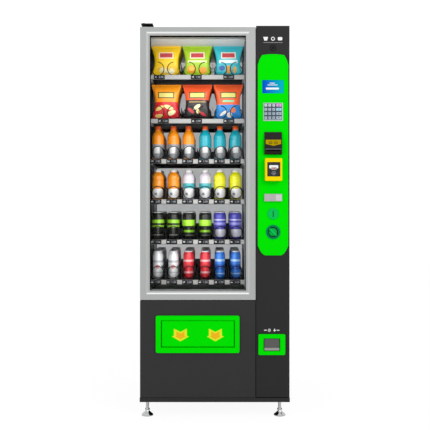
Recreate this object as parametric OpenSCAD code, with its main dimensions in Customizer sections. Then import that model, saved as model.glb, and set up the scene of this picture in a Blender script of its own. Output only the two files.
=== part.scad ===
// Glass-front spiral vending machine.
// A sheet-steel cabinet stands on levelling feet. It holds an insulated cold compartment with six
// spiral trays, a delivery bin and a cooling unit. A hinged door carries the window, the pickup
// hatch and the control column.
// Origin on the floor at the centre of the footprint; +X to the right, the front faces -Y, +Z up.

/* [Overall] */
// Width of the cabinet
body_w = 740; // [736:1:744]
// Height of the cabinet top above the floor
body_top = 1927; // [1925:1:1932]
// Depth position of the back panel
cabinet_back = 405; // [404:1:408]
// Depth position of the cabinet's open front edge
cabinet_front = -285; // [-285:1:-284]
// Height of the levelling feet under the plinth
foot_h = 69; // [66:1:72]
// Height of the base plinth
plinth_h = 21; // [18:1:24]
// Thickness of the cabinet sheet
sheet = 2; // [1.5:0.5:2.5]

/* [Door] */
// Front face of the silver window frame and of the lower fascia
door_front = -375; // [-377:1:-373]
// Rear face of the door
door_back = -295; // [-297:1:-294]
// Depth of the fascia layer in front of the door frame
fascia_depth = 18; // [16:1:20]
// Thickness of the door's sheet skin and flanges
skin = 3; // [2:0.5:4]
// Left edge of the control column
column_left = 205; // [204:1:206]
// Clear window, left edge
window_left = -322; // [-323:1:-319]
// Clear window, right edge
window_right = 155; // [152:1:156]
// Clear window, lower edge
window_bottom = 621; // [619:1:624]
// Clear window, upper edge
window_top = 1886; // [1882:1:1888]
// Visible width of the silver frame bars
frame_bar = 49; // [47:1:50]
// Thickness of one glass pane
pane_t = 4; // [3:1:5]
// Distance of the hinge axis from the cabinet's left side
hinge_inset = 12; // [12:0.5:13]
// Radius of the hinge pins
hinge_pin_r = 6; // [5:0.5:7]
// Height of the top hinge bracket's plate above the cabinet top
bracket_rise = 25; // [15:1:27]

/* [Control column] */
// Centre line of everything on the column
panel_x = 288; // [286:1:290]
// Width of the green control panel
panel_w = 150; // [146:1:152]
// Lower point of the green control panel
panel_bottom = 797; // [790:1:800]
// Upper point of the green control panel, without its crown
panel_top = 1785; // [1780:1:1790]
// How far the green panel stands out from the column
panel_t = 8; // [6:1:10]
// Height of the display's centre
display_z = 1629.5; // [1625:0.5:1635]
// Height of the keypad's centre
keypad_z = 1505; // [1500:1:1508]
// Height of the bill validator's centre
validator_z = 1350; // [1345:1:1355]
// Height of the card reader's centre
reader_z = 1219; // [1215:1:1222]
// Height of the coin return button's centre
return_z = 1082; // [1078:1:1085]
// Height of the coin slot's centre
coin_slot_z = 1002; // [1000:1:1005]
// Height of the door lock's centre
lock_z = 912; // [908:1:915]
// Travel of a key
key_travel = 2; // [1:0.5:2.5]
// Travel of the latch bar between unlocked and locked
latch_travel = 18; // [16:1:19]

/* [Trays] */
// Number of lanes on each tray
lanes = 6; // [6:1:6]
// Distance between two lane centres
lane_pitch = 82.5; // [80:0.5:82.5]
// Centre line of the tray pack
tray_x = -92.5; // [-94:0.5:-92]
// Front edge of the tray floors
tray_front = -185; // [-190:1:-180]
// Rear edge of the tray floors
tray_back = 285; // [280:1:288]
// Height of a price strip
strip_h = 23; // [20:1:24]
// Height of a spiral's axis above its tray floor
spiral_axis_h = 40; // [38:1:42]
// Radius of a spiral to the middle of its wire
spiral_r = 32; // [28:1:34]
// Distance between two turns of a spiral
spiral_pitch = 75; // [60:5:75]
// Number of turns of a spiral
spiral_turns = 6; // [5:1:6]
// Width of the spiral wire
wire_w = 4.6; // [4:0.2:5]

/* [Running clearances] */
// Radial play of a pin in its bore
pin_play = 0.05; // [0.02:0.01:0.1]
// Gap around a key in its pocket
key_gap = 0.4; // [0.3:0.1:0.5]
// Gap around a module in its opening
fit_gap = 0.5; // [0.5:0.1:1]

/* [Hidden] */
$fn = 48;
eps = 0.5;

// Cabinet
half_w = body_w / 2;
cabinet_bottom = foot_h + plinth_h;
plinth_half = half_w + 2;
cord_back = cabinet_back + 20;
flange_left = half_w - 34;
foot_x = [-335, 323];
foot_y = [-352, 365];
anti_tip_x = 250;
anti_tip_z = 1860;
anti_tip_r = 4.5;
cord_x = 300;
cord_z = 300;

// Door
door_half = half_w - 1;
door_bottom = cabinet_bottom + 3;
door_top = body_top - 1;
frame_front = door_front + fascia_depth;
column_front = door_front - 2;
panel_front = column_front - panel_t;
fascia_split = column_left - 3;
fascia_bottom = cabinet_bottom + 2;
lower_fascia_top = window_bottom - frame_bar + 1;
silver_bottom = lower_fascia_top + 3;
column_bottom = fascia_bottom + 3;
column_top = body_top + 5;
liner_t = 3;
hinge_x = -half_w + hinge_inset;
hinge_y = door_back - 8;
hinge_grip = 30;
glass_lap = 15;
glass_left = window_left - glass_lap;
glass_right = window_right + glass_lap;
glass_bottom = window_bottom - glass_lap + 2;
glass_top = window_top + glass_lap - 2;
pane_front = frame_front + 1;
pane_gap = 16;
mullion_x = column_left - 8;

// Cold compartment
cold_left = -343;
cold_right = 163;
cold_top = 1890;
cold_bottom = 590;
cold_back = 372;
liner_right = 191;
well_bottom = 320;
well_back = -50;
insulation = 28;
gasket_w = 12;
gasket_left = -half_w + 12;
gasket_right = liner_right - 9;
gasket_bottom = well_bottom - 24;
gasket_top = cold_top + 26;

// Front hatches: clear openings and swing axes
pickup_left = -266;
pickup_right = 99;
pickup_bottom = 341;
pickup_top = 476;
pickup_axis = [-366, 468];
sleeve_t = 3;
flap_gap = 4;
cup_left = 241;
cup_right = 323;
cup_bottom = 323;
cup_top = 387;
cup_axis = [-373, 380];
cup_back = -313;

// Control column
display_size = [106, 65];
keypad_size = [97, 89];
key_h = 13.5;
key_columns = [-36, -17, 3, 28];
key_widths = [13.5, 13.5, 13.5, 26];
key_pitch_z = 20.6;
keypad_front = panel_front - 3;
key_front = keypad_front - 3;
key_back = key_front + 13;
validator_size = [86, 110];
reader_size = [83, 110];
return_size = [88, 36];
reader_front = -425;
coin_disc_r = 27.5;
lock_body_r = 30.5;
lock_flange_r = 36;
lock_recess_r = 25;
lock_shaft_r = 6;
module_back = column_front + 5;
crank_r = latch_travel / (2 * sin(45));
crank_front = -320;
latch_left = half_w - 24;
latch_front = -310;
latch_t = 4;
hook_heights = [260, 1010, 1760];

// Trays, from the lowest up
tray_index = [0:5];
strip_tops = [654, 864, 1074, 1284, 1494, 1723];
floor_drop = 3;
tray_t = 2;
tray_left = tray_x - lanes * lane_pitch / 2 + 2;
tray_right = tray_x + lanes * lane_pitch / 2 - 2;
divider_h = 62;
bag_tray_first = 4;
spiral_front = tray_front + 5;
motor_plate_h = 76;
motor_d = 31;
steps_per_turn = 8;

// Cooling unit
fan_x = -100;
fan_z = 280;
fan_r = 95;
fan_front = 338;
fan_depth = 30;
fan_shaft_r = 4;

// ---------------------------------------------------------------- helpers

// A block between its lowest and highest corners
module between(low, high) {
    translate(low)
        cube(high - low);
}

// Extrudes an outline drawn in X and Z from one depth to another
module along_depth(y_front, y_back) {
    translate([0, y_back, 0])
        rotate([90, 0, 0])
            linear_extrude(y_back - y_front)
                children();
}

// Extrudes an outline drawn in Y and Z from one side position to another
module along_width(x_left, x_right) {
    translate([x_left, 0, 0])
        rotate([90, 0, 90])
            linear_extrude(x_right - x_left)
                children();
}

module rod_x(y, z, r, x_left, x_right) {
    translate([x_left, y, z])
        rotate([0, 90, 0])
            cylinder(r = r, h = x_right - x_left);
}

module rod_y(x, z, r, y_front, y_back) {
    translate([x, y_front, z])
        rotate([-90, 0, 0])
            cylinder(r = r, h = y_back - y_front);
}

module rod_z(x, y, r, z_low, z_high) {
    translate([x, y, z_low])
        cylinder(r = r, h = z_high - z_low);
}

// A rectangle between two corners
module rect(left, right, low, high) {
    translate([left, low])
        square([right - left, high - low]);
}

// A rectangle with round corners
module round_rect(left, right, low, high, r) {
    rect(left + r, right - r, low, high);
    rect(left, right, low + r, high - r);
    for (x = [left + r, right - r])
        for (z = [low + r, high - r])
            translate([x, z])
                circle(r = r);
}

// The same, about a centre
module round_plate(x, z, size, r) {
    round_rect(x - size[0] / 2, x + size[0] / 2, z - size[1] / 2, z + size[1] / 2, r);
}

module plate(x, z, size) {
    translate([x - size[0] / 2, z - size[1] / 2])
        square(size);
}

// A rectangular ring of constant width inside the given outer edges
module ring(left, right, low, high, w) {
    difference() {
        rect(left, right, low, high);
        rect(left + w, right - w, low + w, high - w);
    }
}

function grown(size, by) = [size[0] + 2 * by, size[1] + 2 * by];

// ---------------------------------------------------------------- door structure

// Openings through the fascia and the panel for everything on the control column
module column_openings() {
    plate(panel_x, display_z, grown(display_size, fit_gap));
    plate(panel_x, keypad_z, grown(keypad_size, fit_gap));
    plate(panel_x, validator_z, grown(validator_size, fit_gap));
    plate(panel_x, reader_z, grown(reader_size, fit_gap));
    round_plate(panel_x, return_z, grown(return_size, fit_gap), 3 + fit_gap);
    translate([panel_x, coin_slot_z])
        circle(r = coin_disc_r + fit_gap);
    translate([panel_x, lock_z])
        circle(r = lock_body_r + fit_gap);
}

module pickup_opening() {
    by = sleeve_t + 1;
    rect(pickup_left - by, pickup_right + by, pickup_bottom - by, pickup_top + by);
}

module coin_cup_opening() {
    by = sleeve_t + 1;
    rect(cup_left - by, cup_right + by, cup_bottom - by - 2, cup_top + by + 2);
}

// Solid block that carries a hinge bore, at the top or at the bottom of the door
module hinge_block(z_low, z_high) {
    between([-door_half + 1, hinge_y - 13, z_low], [hinge_x + 13, door_back, z_high]);
}

module door_frame() {
    color("dimgray")
        difference() {
            union() {
                difference() {
                    between([-door_half, frame_front, door_bottom], [door_half, door_back, door_top]);
                    between(
                        [-door_half + skin, frame_front + skin, door_bottom + skin],
                        [door_half - skin, door_back + eps, door_top - skin]
                    );
                }
                // reveal round the glass
                along_depth(frame_front, door_back - liner_t)
                    ring(
                        glass_left - skin, glass_right + skin,
                        glass_bottom - skin, glass_top + skin, skin
                    );
                // wall between the window side and the control column
                between([mullion_x, frame_front, door_bottom], [mullion_x + skin, door_back, door_top]);
                hinge_block(door_top - 40, door_top);
                hinge_block(door_bottom, door_bottom + 35);
                // guides of the latch bar
                for (z = [500, 1400])
                    between(
                        [latch_left - 3, latch_front - 6, z],
                        [door_half - 1, latch_front + 10, z + 20]
                    );
            }
            along_depth(frame_front - eps, door_back + eps)
                rect(glass_left, glass_right, glass_bottom, glass_top);
            along_depth(frame_front - eps, frame_front + skin + eps) {
                pickup_opening();
                coin_cup_opening();
                rect(panel_x - 66, panel_x + 54, 850, 1700);
            }
            rod_z(hinge_x, hinge_y, hinge_pin_r + pin_play, door_top - hinge_grip - 2, door_top + eps);
            rod_z(hinge_x, hinge_y, hinge_pin_r + pin_play, door_bottom - eps, door_bottom + hinge_grip);
            for (z = [500, 1400])
                between(
                    [latch_left - 0.2, latch_front - 0.2, z - eps],
                    [latch_left + 12.2, latch_front + latch_t + 0.2, z + 20 + eps]
                );
        }
}

// Inner door panel with a reveal that clamps the glass, and the spacer between the panes
module door_liner() {
    color("gainsboro") {
        difference() {
            union() {
                along_depth(door_back - liner_t, door_back)
                    rect(-door_half + skin + fit_gap, mullion_x - fit_gap, 285, door_top - skin - fit_gap);
                along_depth(pane_front + 2 * pane_t + pane_gap, door_back)
                    rect(glass_left + 0.5, glass_right - 0.5, glass_bottom + 0.5, glass_top - 0.5);
            }
            along_depth(frame_front, door_back + eps) {
                rect(window_left - 2, window_right + 2, window_bottom - 2, window_top + 2);
                pickup_opening();
            }
            // clearance round the top hinge block
            between(
                [-door_half, frame_front, door_top - 41],
                [hinge_x + 14, door_back + eps, door_top + eps]
            );
        }
        along_depth(pane_front + pane_t, pane_front + pane_t + pane_gap)
            ring(glass_left + 1, glass_right - 1, glass_bottom + 1, glass_top - 1, 10);
    }
}

module window_glass() {
    color([0.8, 0.9, 0.9, 0.3])
        for (y = [pane_front, pane_front + pane_t + pane_gap])
            along_depth(y, y + pane_t)
                rect(glass_left + 1, glass_right - 1, glass_bottom + 1, glass_top - 1);
}

// Magnetic seal on the back of the door
module door_gasket() {
    color("black")
        along_depth(door_back, cabinet_front - 0.1)
            ring(gasket_left, gasket_right, gasket_bottom, gasket_top, gasket_w);
}

// Tapered pocket round the window opening: it narrows from its front edges to its rear edges
module tapered_pocket(front_by, back_by, y_front, y_back) {
    corner = function (by, y) [
        [window_left - by, y, window_bottom - by],
        [window_right + by, y, window_bottom - by],
        [window_right + by, y, window_top + by],
        [window_left - by, y, window_top + by]
    ];
    polyhedron(
        points = concat(corner(front_by, y_front), corner(back_by, y_back)),
        faces = [
            [3, 2, 1, 0], [4, 5, 6, 7], [0, 1, 5, 4],
            [1, 2, 6, 5], [2, 3, 7, 6], [3, 0, 4, 7]
        ]
    );
}

// Silver frame: an outer land, a bevel and a lower inner land round the opening
module window_frame() {
    bevel_front = 17;
    bevel_back = 10;
    step = 5;
    color("silver")
        difference() {
            along_depth(door_front, frame_front)
                difference() {
                    rect(-half_w, fascia_split, silver_bottom, body_top);
                    rect(window_left, window_right, window_bottom, window_top);
                }
            tapered_pocket(bevel_front + 1.4, bevel_back, door_front - 1, door_front + step);
            // hollow back of the profile
            along_depth(door_front + 9, frame_front + eps)
                difference() {
                    rect(-half_w + 5, fascia_split - 5, silver_bottom + 5, body_top - 5);
                    rect(window_left - 8, window_right + 8, window_bottom - 8, window_top + 8);
                }
        }
}

// Pressed panel under the window
module lower_fascia() {
    wall = 4;
    color("#383838")
        difference() {
            between([-half_w, door_front, fascia_bottom], [fascia_split, frame_front, lower_fascia_top]);
            between(
                [-half_w + wall, door_front + wall, fascia_bottom + wall],
                [fascia_split - wall, frame_front + eps, lower_fascia_top - wall]
            );
            along_depth(door_front - eps, frame_front)
                pickup_opening();
        }
}

// Full-height moulding of the control column, with a round camera boss near the top
module column_fascia() {
    wall = 5;
    boss_z = 1822;
    boss_r = 15.5;
    color("#343434")
        difference() {
            union() {
                between([column_left, column_front, column_bottom], [half_w, frame_front, column_top]);
                rod_y(panel_x, boss_z, boss_r, column_front - 2, column_front + 1);
            }
            between(
                [column_left + wall, module_back, column_bottom + wall],
                [half_w - wall, frame_front + eps, column_top - wall]
            );
            along_depth(column_front - eps, frame_front) {
                column_openings();
                coin_cup_opening();
            }
        }
}

// ---------------------------------------------------------------- control column

// Outline of the green panel: straight sides, bulging cut corners and a slightly crowned top
module panel_outline() {
    half = panel_w / 2;
    top_half = 55;
    crown = 5;
    crown_steps = 8;
    crown_point = function (i) let (u = 1 - 2 * i / crown_steps)
        [u * top_half, panel_top + crown * (1 - u * u)];
    right_side = [
        [40, panel_bottom], [53, panel_bottom + 8], [64, panel_bottom + 23], [half, panel_bottom + 48],
        [half, panel_top - 48], [68, panel_top - 23]
    ];
    last = len(right_side) - 1;
    translate([panel_x, 0])
        polygon(concat(
            right_side,
            [for (i = [0:crown_steps]) crown_point(i)],
            [for (i = [last:-1:0]) [-right_side[i][0], right_side[i][1]]]
        ));
}

module control_panel() {
    color("#00e000")
        along_depth(panel_front, column_front)
            difference() {
                panel_outline();
                column_openings();
            }
}

module display_module() {
    color("#0070d8") {
        along_depth(panel_front + 2, module_back + 12)
            plate(panel_x, display_z, display_size);
        along_depth(module_back, module_back + 3)
            plate(panel_x, display_z, grown(display_size, 4));
    }
}

function key_x(column) = panel_x + key_columns[column];
function key_z(row) = keypad_z + 1.5 + (1.5 - row) * key_pitch_z;

// Metal keypad block with a blind pocket for every key
module keypad_plate() {
    pocket_floor = key_back + key_travel + 1;
    color("gray")
        difference() {
            union() {
                along_depth(keypad_front, module_back + 2)
                    plate(panel_x, keypad_z, keypad_size);
                along_depth(module_back, module_back + 3)
                    plate(panel_x, keypad_z, grown(keypad_size, 4));
            }
            along_depth(keypad_front - eps, pocket_floor)
                for (column = [0:3])
                    for (row = [0:3])
                        plate(key_x(column), key_z(row), grown([key_widths[column], key_h], key_gap));
        }
}

module keypad_key(column, row) {
    color("#b8c4cc")
        along_depth(key_front, key_back)
            plate(key_x(column), key_z(row), [key_widths[column], key_h]);
}

// Bill validator: a sloping snout with a mouth, and the note stacker behind the door skin
module bill_validator() {
    half = validator_size[0] / 2;
    low = validator_z - validator_size[1] / 2;
    high = validator_z + validator_size[1] / 2;
    nose = -405;
    color("#2c2c2c")
        difference() {
            union() {
                along_width(panel_x - half, panel_x + half)
                    polygon([
                        [module_back, low], [nose + 8, low], [nose, low + 8], [nose, validator_z - 5],
                        [nose + 14, high], [module_back, high]
                    ]);
                between([panel_x - 42, module_back, low + 5], [panel_x + 38, -350, high - 5]);
                between([panel_x - 42, -350, low + 5], [panel_x + 38, -215, high + 155]);
            }
            // note slot
            between([panel_x - 35, nose - eps, low + 14], [panel_x + 35, module_back, low + 20]);
        }
}

// Contactless card reader: a rounded housing with a recessed screen
module card_reader() {
    screen = [64, 71];
    color("#f0d800")
        difference() {
            union() {
                along_depth(reader_front, panel_front)
                    round_plate(panel_x, reader_z, reader_size, 4);
                along_depth(panel_front, module_back + 10)
                    plate(panel_x, reader_z, grown(reader_size, -4));
            }
            along_depth(reader_front - eps, reader_front + 2)
                round_plate(panel_x, reader_z + 1, screen, 3);
        }
}

module coin_return_button() {
    color("silver")
        along_depth(panel_front - 10, module_back + 4)
            round_plate(panel_x, return_z, return_size, 3);
}

module coin_slot_plate() {
    color("#10b860")
        along_depth(panel_front - 4, module_back + 2)
            difference() {
                translate([panel_x, coin_slot_z])
                    circle(r = coin_disc_r);
                plate(panel_x, coin_slot_z, [4, 31.5]);
            }
}

// Outline of the channel that leads coins from the slot, round the lock, to the coin mechanism
module coin_channel(by) {
    offset(delta = -by)
        polygon([
            [268, 1032], [308, 1032], [308, 978], [252, 938],
            [252, 845], [224, 845], [224, 957], [268, 987]
        ]);
}

// Coin changer with the inlet channel above it and the return tube below it
module coin_mech() {
    low = 470;
    high = 845;
    left = 216;
    right = 341;
    front = -350;
    back = -291;
    color("#303030") {
        difference() {
            union() {
                between([left, front, low], [right, back, high]);
                between([262, -345, cup_top + 5], [302, -320, low + 5]);
            }
            // coin tubes, open at the back
            for (i = [0:3])
                rod_z(left + 20 + i * 28, back - 4, 11, low + 60, high - 90);
            between([264, -343, cup_top], [300, -322, low + 20]);
        }
        difference() {
            along_depth(-349, -333)
                coin_channel(0);
            along_depth(-347, -333 + eps)
                coin_channel(2);
            between([234, -347, high - eps], [244, -333 + eps, high + 5]);
            along_depth(-349 - eps, -346)
                plate(panel_x, coin_slot_z, [4, 31.5]);
        }
    }
}

// Open-topped coin box with a pull handle on its rear face
module cash_box() {
    left = 216;
    right = 341;
    front = -350;
    back = -303;
    low = 110;
    high = 300;
    color("#8a8f94") {
        difference() {
            between([left, front, low], [right, back, high]);
            between([left + 2, front + 2, low + 2], [right - 2, back - 2, high + eps]);
        }
        for (x = [250, 301])
            between([x, back, 222], [x + 6, back + 6, 232]);
        between([250, back + 4, 222], [307, back + 7, 232]);
    }
}

// Recessed cup of the door lock, with the bore of the handle's shaft in its floor
module lock_cup() {
    floor_front = -354;
    color("#0a7a5a")
        difference() {
            union() {
                rod_y(panel_x, lock_z, lock_flange_r, panel_front - 3, panel_front);
                rod_y(panel_x, lock_z, lock_body_r, panel_front, floor_front + 4);
            }
            rod_y(panel_x, lock_z, lock_recess_r, panel_front - 3 - eps, floor_front);
            rod_y(panel_x, lock_z, lock_shaft_r + pin_play, floor_front - eps, floor_front + 4 + eps);
        }
}

// T-handle, its shaft and the crank whose pin drives the latch bar
module lock_handle() {
    color("#0c5c48")
        translate([panel_x, 0, lock_z])
            rotate([0, 45, 0]) {
                along_depth(panel_front - 1, panel_front + 11)
                    round_plate(0, 0, [46, 10], 4);
                rod_y(0, 0, lock_shaft_r, panel_front + 10, crank_front);
                along_depth(crank_front, crank_front + 6)
                    rect(0, crank_r, -5, 5);
                rod_y(0, 0, 9, crank_front, crank_front + 6);
                rod_y(crank_r, 0, 5, crank_front, crank_front + 6);
                rod_y(crank_r, 0, 3, crank_front, latch_front + latch_t + 3);
            }
}

// Sliding bar with three hooks and the slotted tab that the crank pin lifts
module latch_bar() {
    latch_back = latch_front + latch_t;
    right = latch_left + 12;
    hook_back = cabinet_front + 9;
    tab_z = lock_z - crank_r * sin(45);
    color("#9a9da0")
        difference() {
            union() {
                between([latch_left, latch_front, 240], [right, latch_back, 1800]);
                between([panel_x - 2, latch_front, tab_z - 10], [latch_left + 1, latch_back, tab_z + 10]);
                for (z = hook_heights) {
                    between([latch_left, latch_front + 1, z], [latch_left + 6, hook_back, z + 5]);
                    between([latch_left, hook_back - 5, z], [latch_left + 6, hook_back, z + 22]);
                }
            }
            along_depth(latch_front - eps, latch_back + eps)
                rect(panel_x + 4, panel_x + 18, tab_z - 3.6, tab_z + 3.6);
        }
}

// ---------------------------------------------------------------- hatches

// Green surround and coin pocket, open to the return tube above
module coin_cup_frame() {
    color("#00e000")
        difference() {
            union() {
                along_depth(panel_front, column_front)
                    round_rect(216, 348, 305, 407, 7);
                along_depth(panel_front + 1, cup_back + 3)
                    rect(cup_left - 3, cup_right + 3, cup_bottom - 5, cup_top + 5);
            }
            along_depth(panel_front - eps, cup_back)
                rect(cup_left, cup_right, cup_bottom, cup_top);
            between([264, -343, cup_top - eps], [300, -322, cup_top + 5 + eps]);
            rod_x(cup_axis[0], cup_axis[1], 2.5 + pin_play, cup_left - 4, cup_right + 4);
        }
}

// Flap with a finger lip, arms and stub pins; front is its outer face
module swing_flap(left, right, low, high, front, thick, axis, pin_r) {
    between([left, front, low], [right, front + thick, high]);
    for (x = [left, right - 8])
        between([x, front + thick - 1, axis[1] - 6], [x + 8, axis[0] + 4, high]);
    rod_x(axis[0], axis[1], pin_r, left - flap_gap - sleeve_t + 0.5, left + 1);
    rod_x(axis[0], axis[1], pin_r, right - 1, right + flap_gap + sleeve_t - 0.5);
}

module coin_cup_flap() {
    left = cup_left + flap_gap;
    right = cup_right - flap_gap;
    front = panel_front + 4;
    color("#606060") {
        swing_flap(left, right, cup_bottom + 3, cup_top - 3, front, 4, cup_axis, 2.5);
        along_width(left, right)
            polygon([
                [front + 1, cup_bottom + 3], [front - 3, cup_bottom + 6],
                [front - 3, cup_bottom + 16], [front + 1, cup_bottom + 20]
            ]);
    }
}

// Green surround of the pickup hatch with a sleeve through the door
module pickup_frame() {
    color("#00e000")
        difference() {
            union() {
                along_depth(door_front - 10, door_front)
                    round_rect(-291, 122, 315, 498, 9);
                along_depth(door_front - 9, door_back - 2)
                    rect(
                        pickup_left - sleeve_t, pickup_right + sleeve_t,
                        pickup_bottom - sleeve_t, pickup_top + sleeve_t
                    );
            }
            along_depth(door_front - 10 - eps, door_back)
                rect(pickup_left, pickup_right, pickup_bottom, pickup_top);
            rod_x(
                pickup_axis[0], pickup_axis[1], 3 + pin_play,
                pickup_left - sleeve_t - eps, pickup_right + sleeve_t + eps
            );
        }
}

module pickup_flap() {
    color("#00d000")
        swing_flap(
            pickup_left + flap_gap, pickup_right - flap_gap, pickup_bottom + flap_gap, pickup_top - 3,
            door_front - 3, 6, pickup_axis, 3
        );
}

// ---------------------------------------------------------------- cabinet

// Rows of horizontal air slots between the given edges
module louvres(left, right, low, high, pitch) {
    slot_h = 8;
    middle = (left + right) / 2;
    for (z = [low:pitch:high - slot_h]) {
        rect(left, middle - 8, z, z + slot_h);
        rect(middle + 8, right, z, z + slot_h);
    }
}

module cabinet_shell() {
    color("#3a3a3c")
        difference() {
            union() {
                difference() {
                    between([-half_w, cabinet_front, cabinet_bottom], [half_w, cabinet_back, body_top]);
                    between(
                        [-half_w + sheet, cabinet_front - eps, cabinet_bottom + sheet],
                        [half_w - sheet, cabinet_back - sheet, body_top - sheet]
                    );
                }
                // flange on the latch side
                between(
                    [flange_left, cabinet_front, cabinet_bottom],
                    [half_w, cabinet_front + sheet, body_top]
                );
                // apron under the cold compartment
                between(
                    [-half_w, cabinet_front, cabinet_bottom],
                    [liner_right, cabinet_front + sheet, well_bottom - insulation - 1]
                );
            }
            for (z = hook_heights)
                between(
                    [latch_left - 5, cabinet_front - eps, z - 2],
                    [latch_left + 12, cabinet_front + sheet + eps, z + 25]
                );
            along_depth(cabinet_back - sheet - eps, cabinet_back + eps) {
                louvres(fan_x - 150, fan_x + 150, 150, 420, 24);
                translate([cord_x, cord_z])
                    circle(r = 6);
                for (x = [-anti_tip_x, anti_tip_x])
                    translate([x, anti_tip_z])
                        circle(r = anti_tip_r);
            }
            along_depth(cabinet_front - eps, cabinet_front + sheet + eps)
                louvres(-300, 120, 130, 270, 24);
        }
}

// Foam-filled liner: the cold compartment with the delivery well at its lower front
module insulated_liner() {
    left = -half_w + sheet + 0.5;
    back = cabinet_back - sheet - 0.5;
    top = body_top - sheet - 0.5;
    color("gainsboro")
        difference() {
            union() {
                between([left, cabinet_front, cold_bottom - insulation], [liner_right, back, top]);
                between(
                    [left, cabinet_front, well_bottom - insulation],
                    [liner_right, well_back + insulation, cold_bottom - insulation + 1]
                );
            }
            between([cold_left, cabinet_front - eps, cold_bottom], [cold_right, cold_back, cold_top]);
            between(
                [cold_left, cabinet_front - eps, well_bottom],
                [cold_right, well_back, cold_bottom + 1]
            );
            // pocket behind the anti-tip hole
            rod_y(-anti_tip_x, anti_tip_z, 14, back - 24, back + eps);
        }
}

// Pressed base pan with a threaded boss over every foot
module base_plinth() {
    rim = 20;
    front = door_front + 2;
    color("#3a3a3a")
        difference() {
            union() {
                difference() {
                    between([-plinth_half, front, foot_h], [plinth_half, cabinet_back, cabinet_bottom]);
                    between(
                        [-plinth_half + rim, front + rim, foot_h - eps],
                        [plinth_half - rim, cabinet_back - rim, cabinet_bottom - 4]
                    );
                }
                for (x = foot_x)
                    for (y = foot_y)
                        rod_z(x, y, 16, foot_h, cabinet_bottom - 1);
            }
            for (x = foot_x)
                for (y = foot_y)
                    rod_z(x, y, 7.6, foot_h - eps, cabinet_bottom - 2);
        }
}

// Levelling foot: pad, cone, locknut collar and stem
module levelling_foot() {
    stem_r = 7.5;
    color("silver")
        rotate_extrude()
            polygon([
                [0, 0], [29, 0], [29, 4], [11, 20], [stem_r, 27], [12, 27], [12, 33],
                [stem_r, 33], [stem_r, cabinet_bottom - 3], [0, cabinet_bottom - 3]
            ]);
}

module levelling_feet() {
    for (x = foot_x)
        for (y = foot_y)
            translate([x, y, 0])
                levelling_foot();
}

// Upper and lower hinge brackets with their pins and screws
module hinge_brackets() {
    plate_z = body_top + bracket_rise;
    plate_t = 7;
    wall = 5;
    left = hinge_x - 12;
    right = hinge_x + 46;
    front = cabinet_front + 15;
    back = cabinet_front + 85;
    color("#2b2b2c") {
        // top bracket, a channel on the cabinet top that reaches forward over the door
        between([left, hinge_y - 15, plate_z], [right, back, plate_z + plate_t]);
        for (y = [front, back - wall])
            between([left, y, body_top], [right, y + wall, plate_z + 1]);
        rod_z(hinge_x, hinge_y, hinge_pin_r, door_top - hinge_grip, plate_z + plate_t + 4);
        for (x = [left + 15, right - 15])
            rod_z(x, (front + back) / 2, 6, plate_z + plate_t - 1, plate_z + plate_t + 3);
        // bottom bracket
        between([left, hinge_y - 15, cabinet_bottom], [right, cabinet_front - 1, cabinet_bottom + 2]);
        rod_z(hinge_x, hinge_y, hinge_pin_r, cabinet_bottom, door_bottom + hinge_grip - 2);
    }
}

// ---------------------------------------------------------------- cold compartment

function tray_floor(i) = strip_tops[i] - floor_drop;
function lane_x(lane) = tray_x + (lane - (lanes - 1) / 2) * lane_pitch;

// One slotted post, drawn across its width and height
module post_outline(width) {
    slot_pitch = 42;
    difference() {
        rect(0, width, cold_bottom + 2, cold_top - 2);
        for (z = [cold_bottom + 30:slot_pitch:cold_top - 30])
            rect(width / 2 - 3, width / 2 + 3, z, z + 18);
    }
}

// Four slotted posts and a pair of support rails for every tray
module tray_rails() {
    post_t = 3;
    post_w = 30;
    rail_w = 14;
    rail_drop = 24;
    color("#b9bcbf") {
        for (x = [cold_left, cold_right - post_t])
            for (y = [tray_front + 5, tray_back - 30])
                translate([0, y, 0])
                    along_width(x, x + post_t)
                        post_outline(post_w);
        for (i = tray_index)
            for (side = [0, 1]) {
                left = side == 0 ? cold_left + post_t : cold_right - post_t - rail_w;
                web = side == 0 ? left : left + rail_w - 2;
                z = tray_floor(i) - rail_drop;
                between([left, tray_front + 5, z], [left + rail_w, tray_back, z + 2]);
                between([web, tray_front + 5, z], [web + 2, tray_back, z + 20]);
            }
    }
}

// Tray floors with all four edges turned down
module tray_pans() {
    flange_h = 22;
    color("#c9ccce")
        for (i = tray_index) {
            z = tray_floor(i);
            difference() {
                between([tray_left, tray_front, z - flange_h], [tray_right, tray_back, z]);
                between(
                    [tray_left + tray_t, tray_front + tray_t, z - flange_h - eps],
                    [tray_right - tray_t, tray_back - tray_t, z - tray_t]
                );
            }
        }
}

// Upright plates between lanes: between every two lanes, or every second pair on the bag trays
module lane_dividers() {
    t = 1.5;
    color("#202020")
        for (i = tray_index)
            for (gap = [1:lanes - 1])
                if (i < bag_tray_first || gap % 2 == 0) {
                    x = lane_x(gap) - lane_pitch / 2;
                    z = tray_floor(i);
                    between([x - t / 2, tray_front + 4, z], [x + t / 2, tray_back - 10, z + divider_h]);
                }
}

module price_strips() {
    color("white")
        for (i = tray_index)
            between(
                [tray_left, tray_front - 5, strip_tops[i] - strip_h],
                [tray_right, tray_front, strip_tops[i]]
            );
}

// A motor plate behind each tray, with a motor and an output hub for every lane
module spiral_motors() {
    color("#e8e8e8")
        for (i = tray_index) {
            z = tray_floor(i);
            between([tray_left, tray_back, z - 20], [tray_right, tray_back + 2, z + motor_plate_h]);
            for (lane = [0:lanes - 1]) {
                x = lane_x(lane);
                between([x - 28, tray_back + 1, z + 10], [x + 28, tray_back + 2 + motor_d, z + 70]);
                rod_y(x, z + spiral_axis_h, 8, tray_back - 10, tray_back + 1);
            }
        }
}

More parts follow.
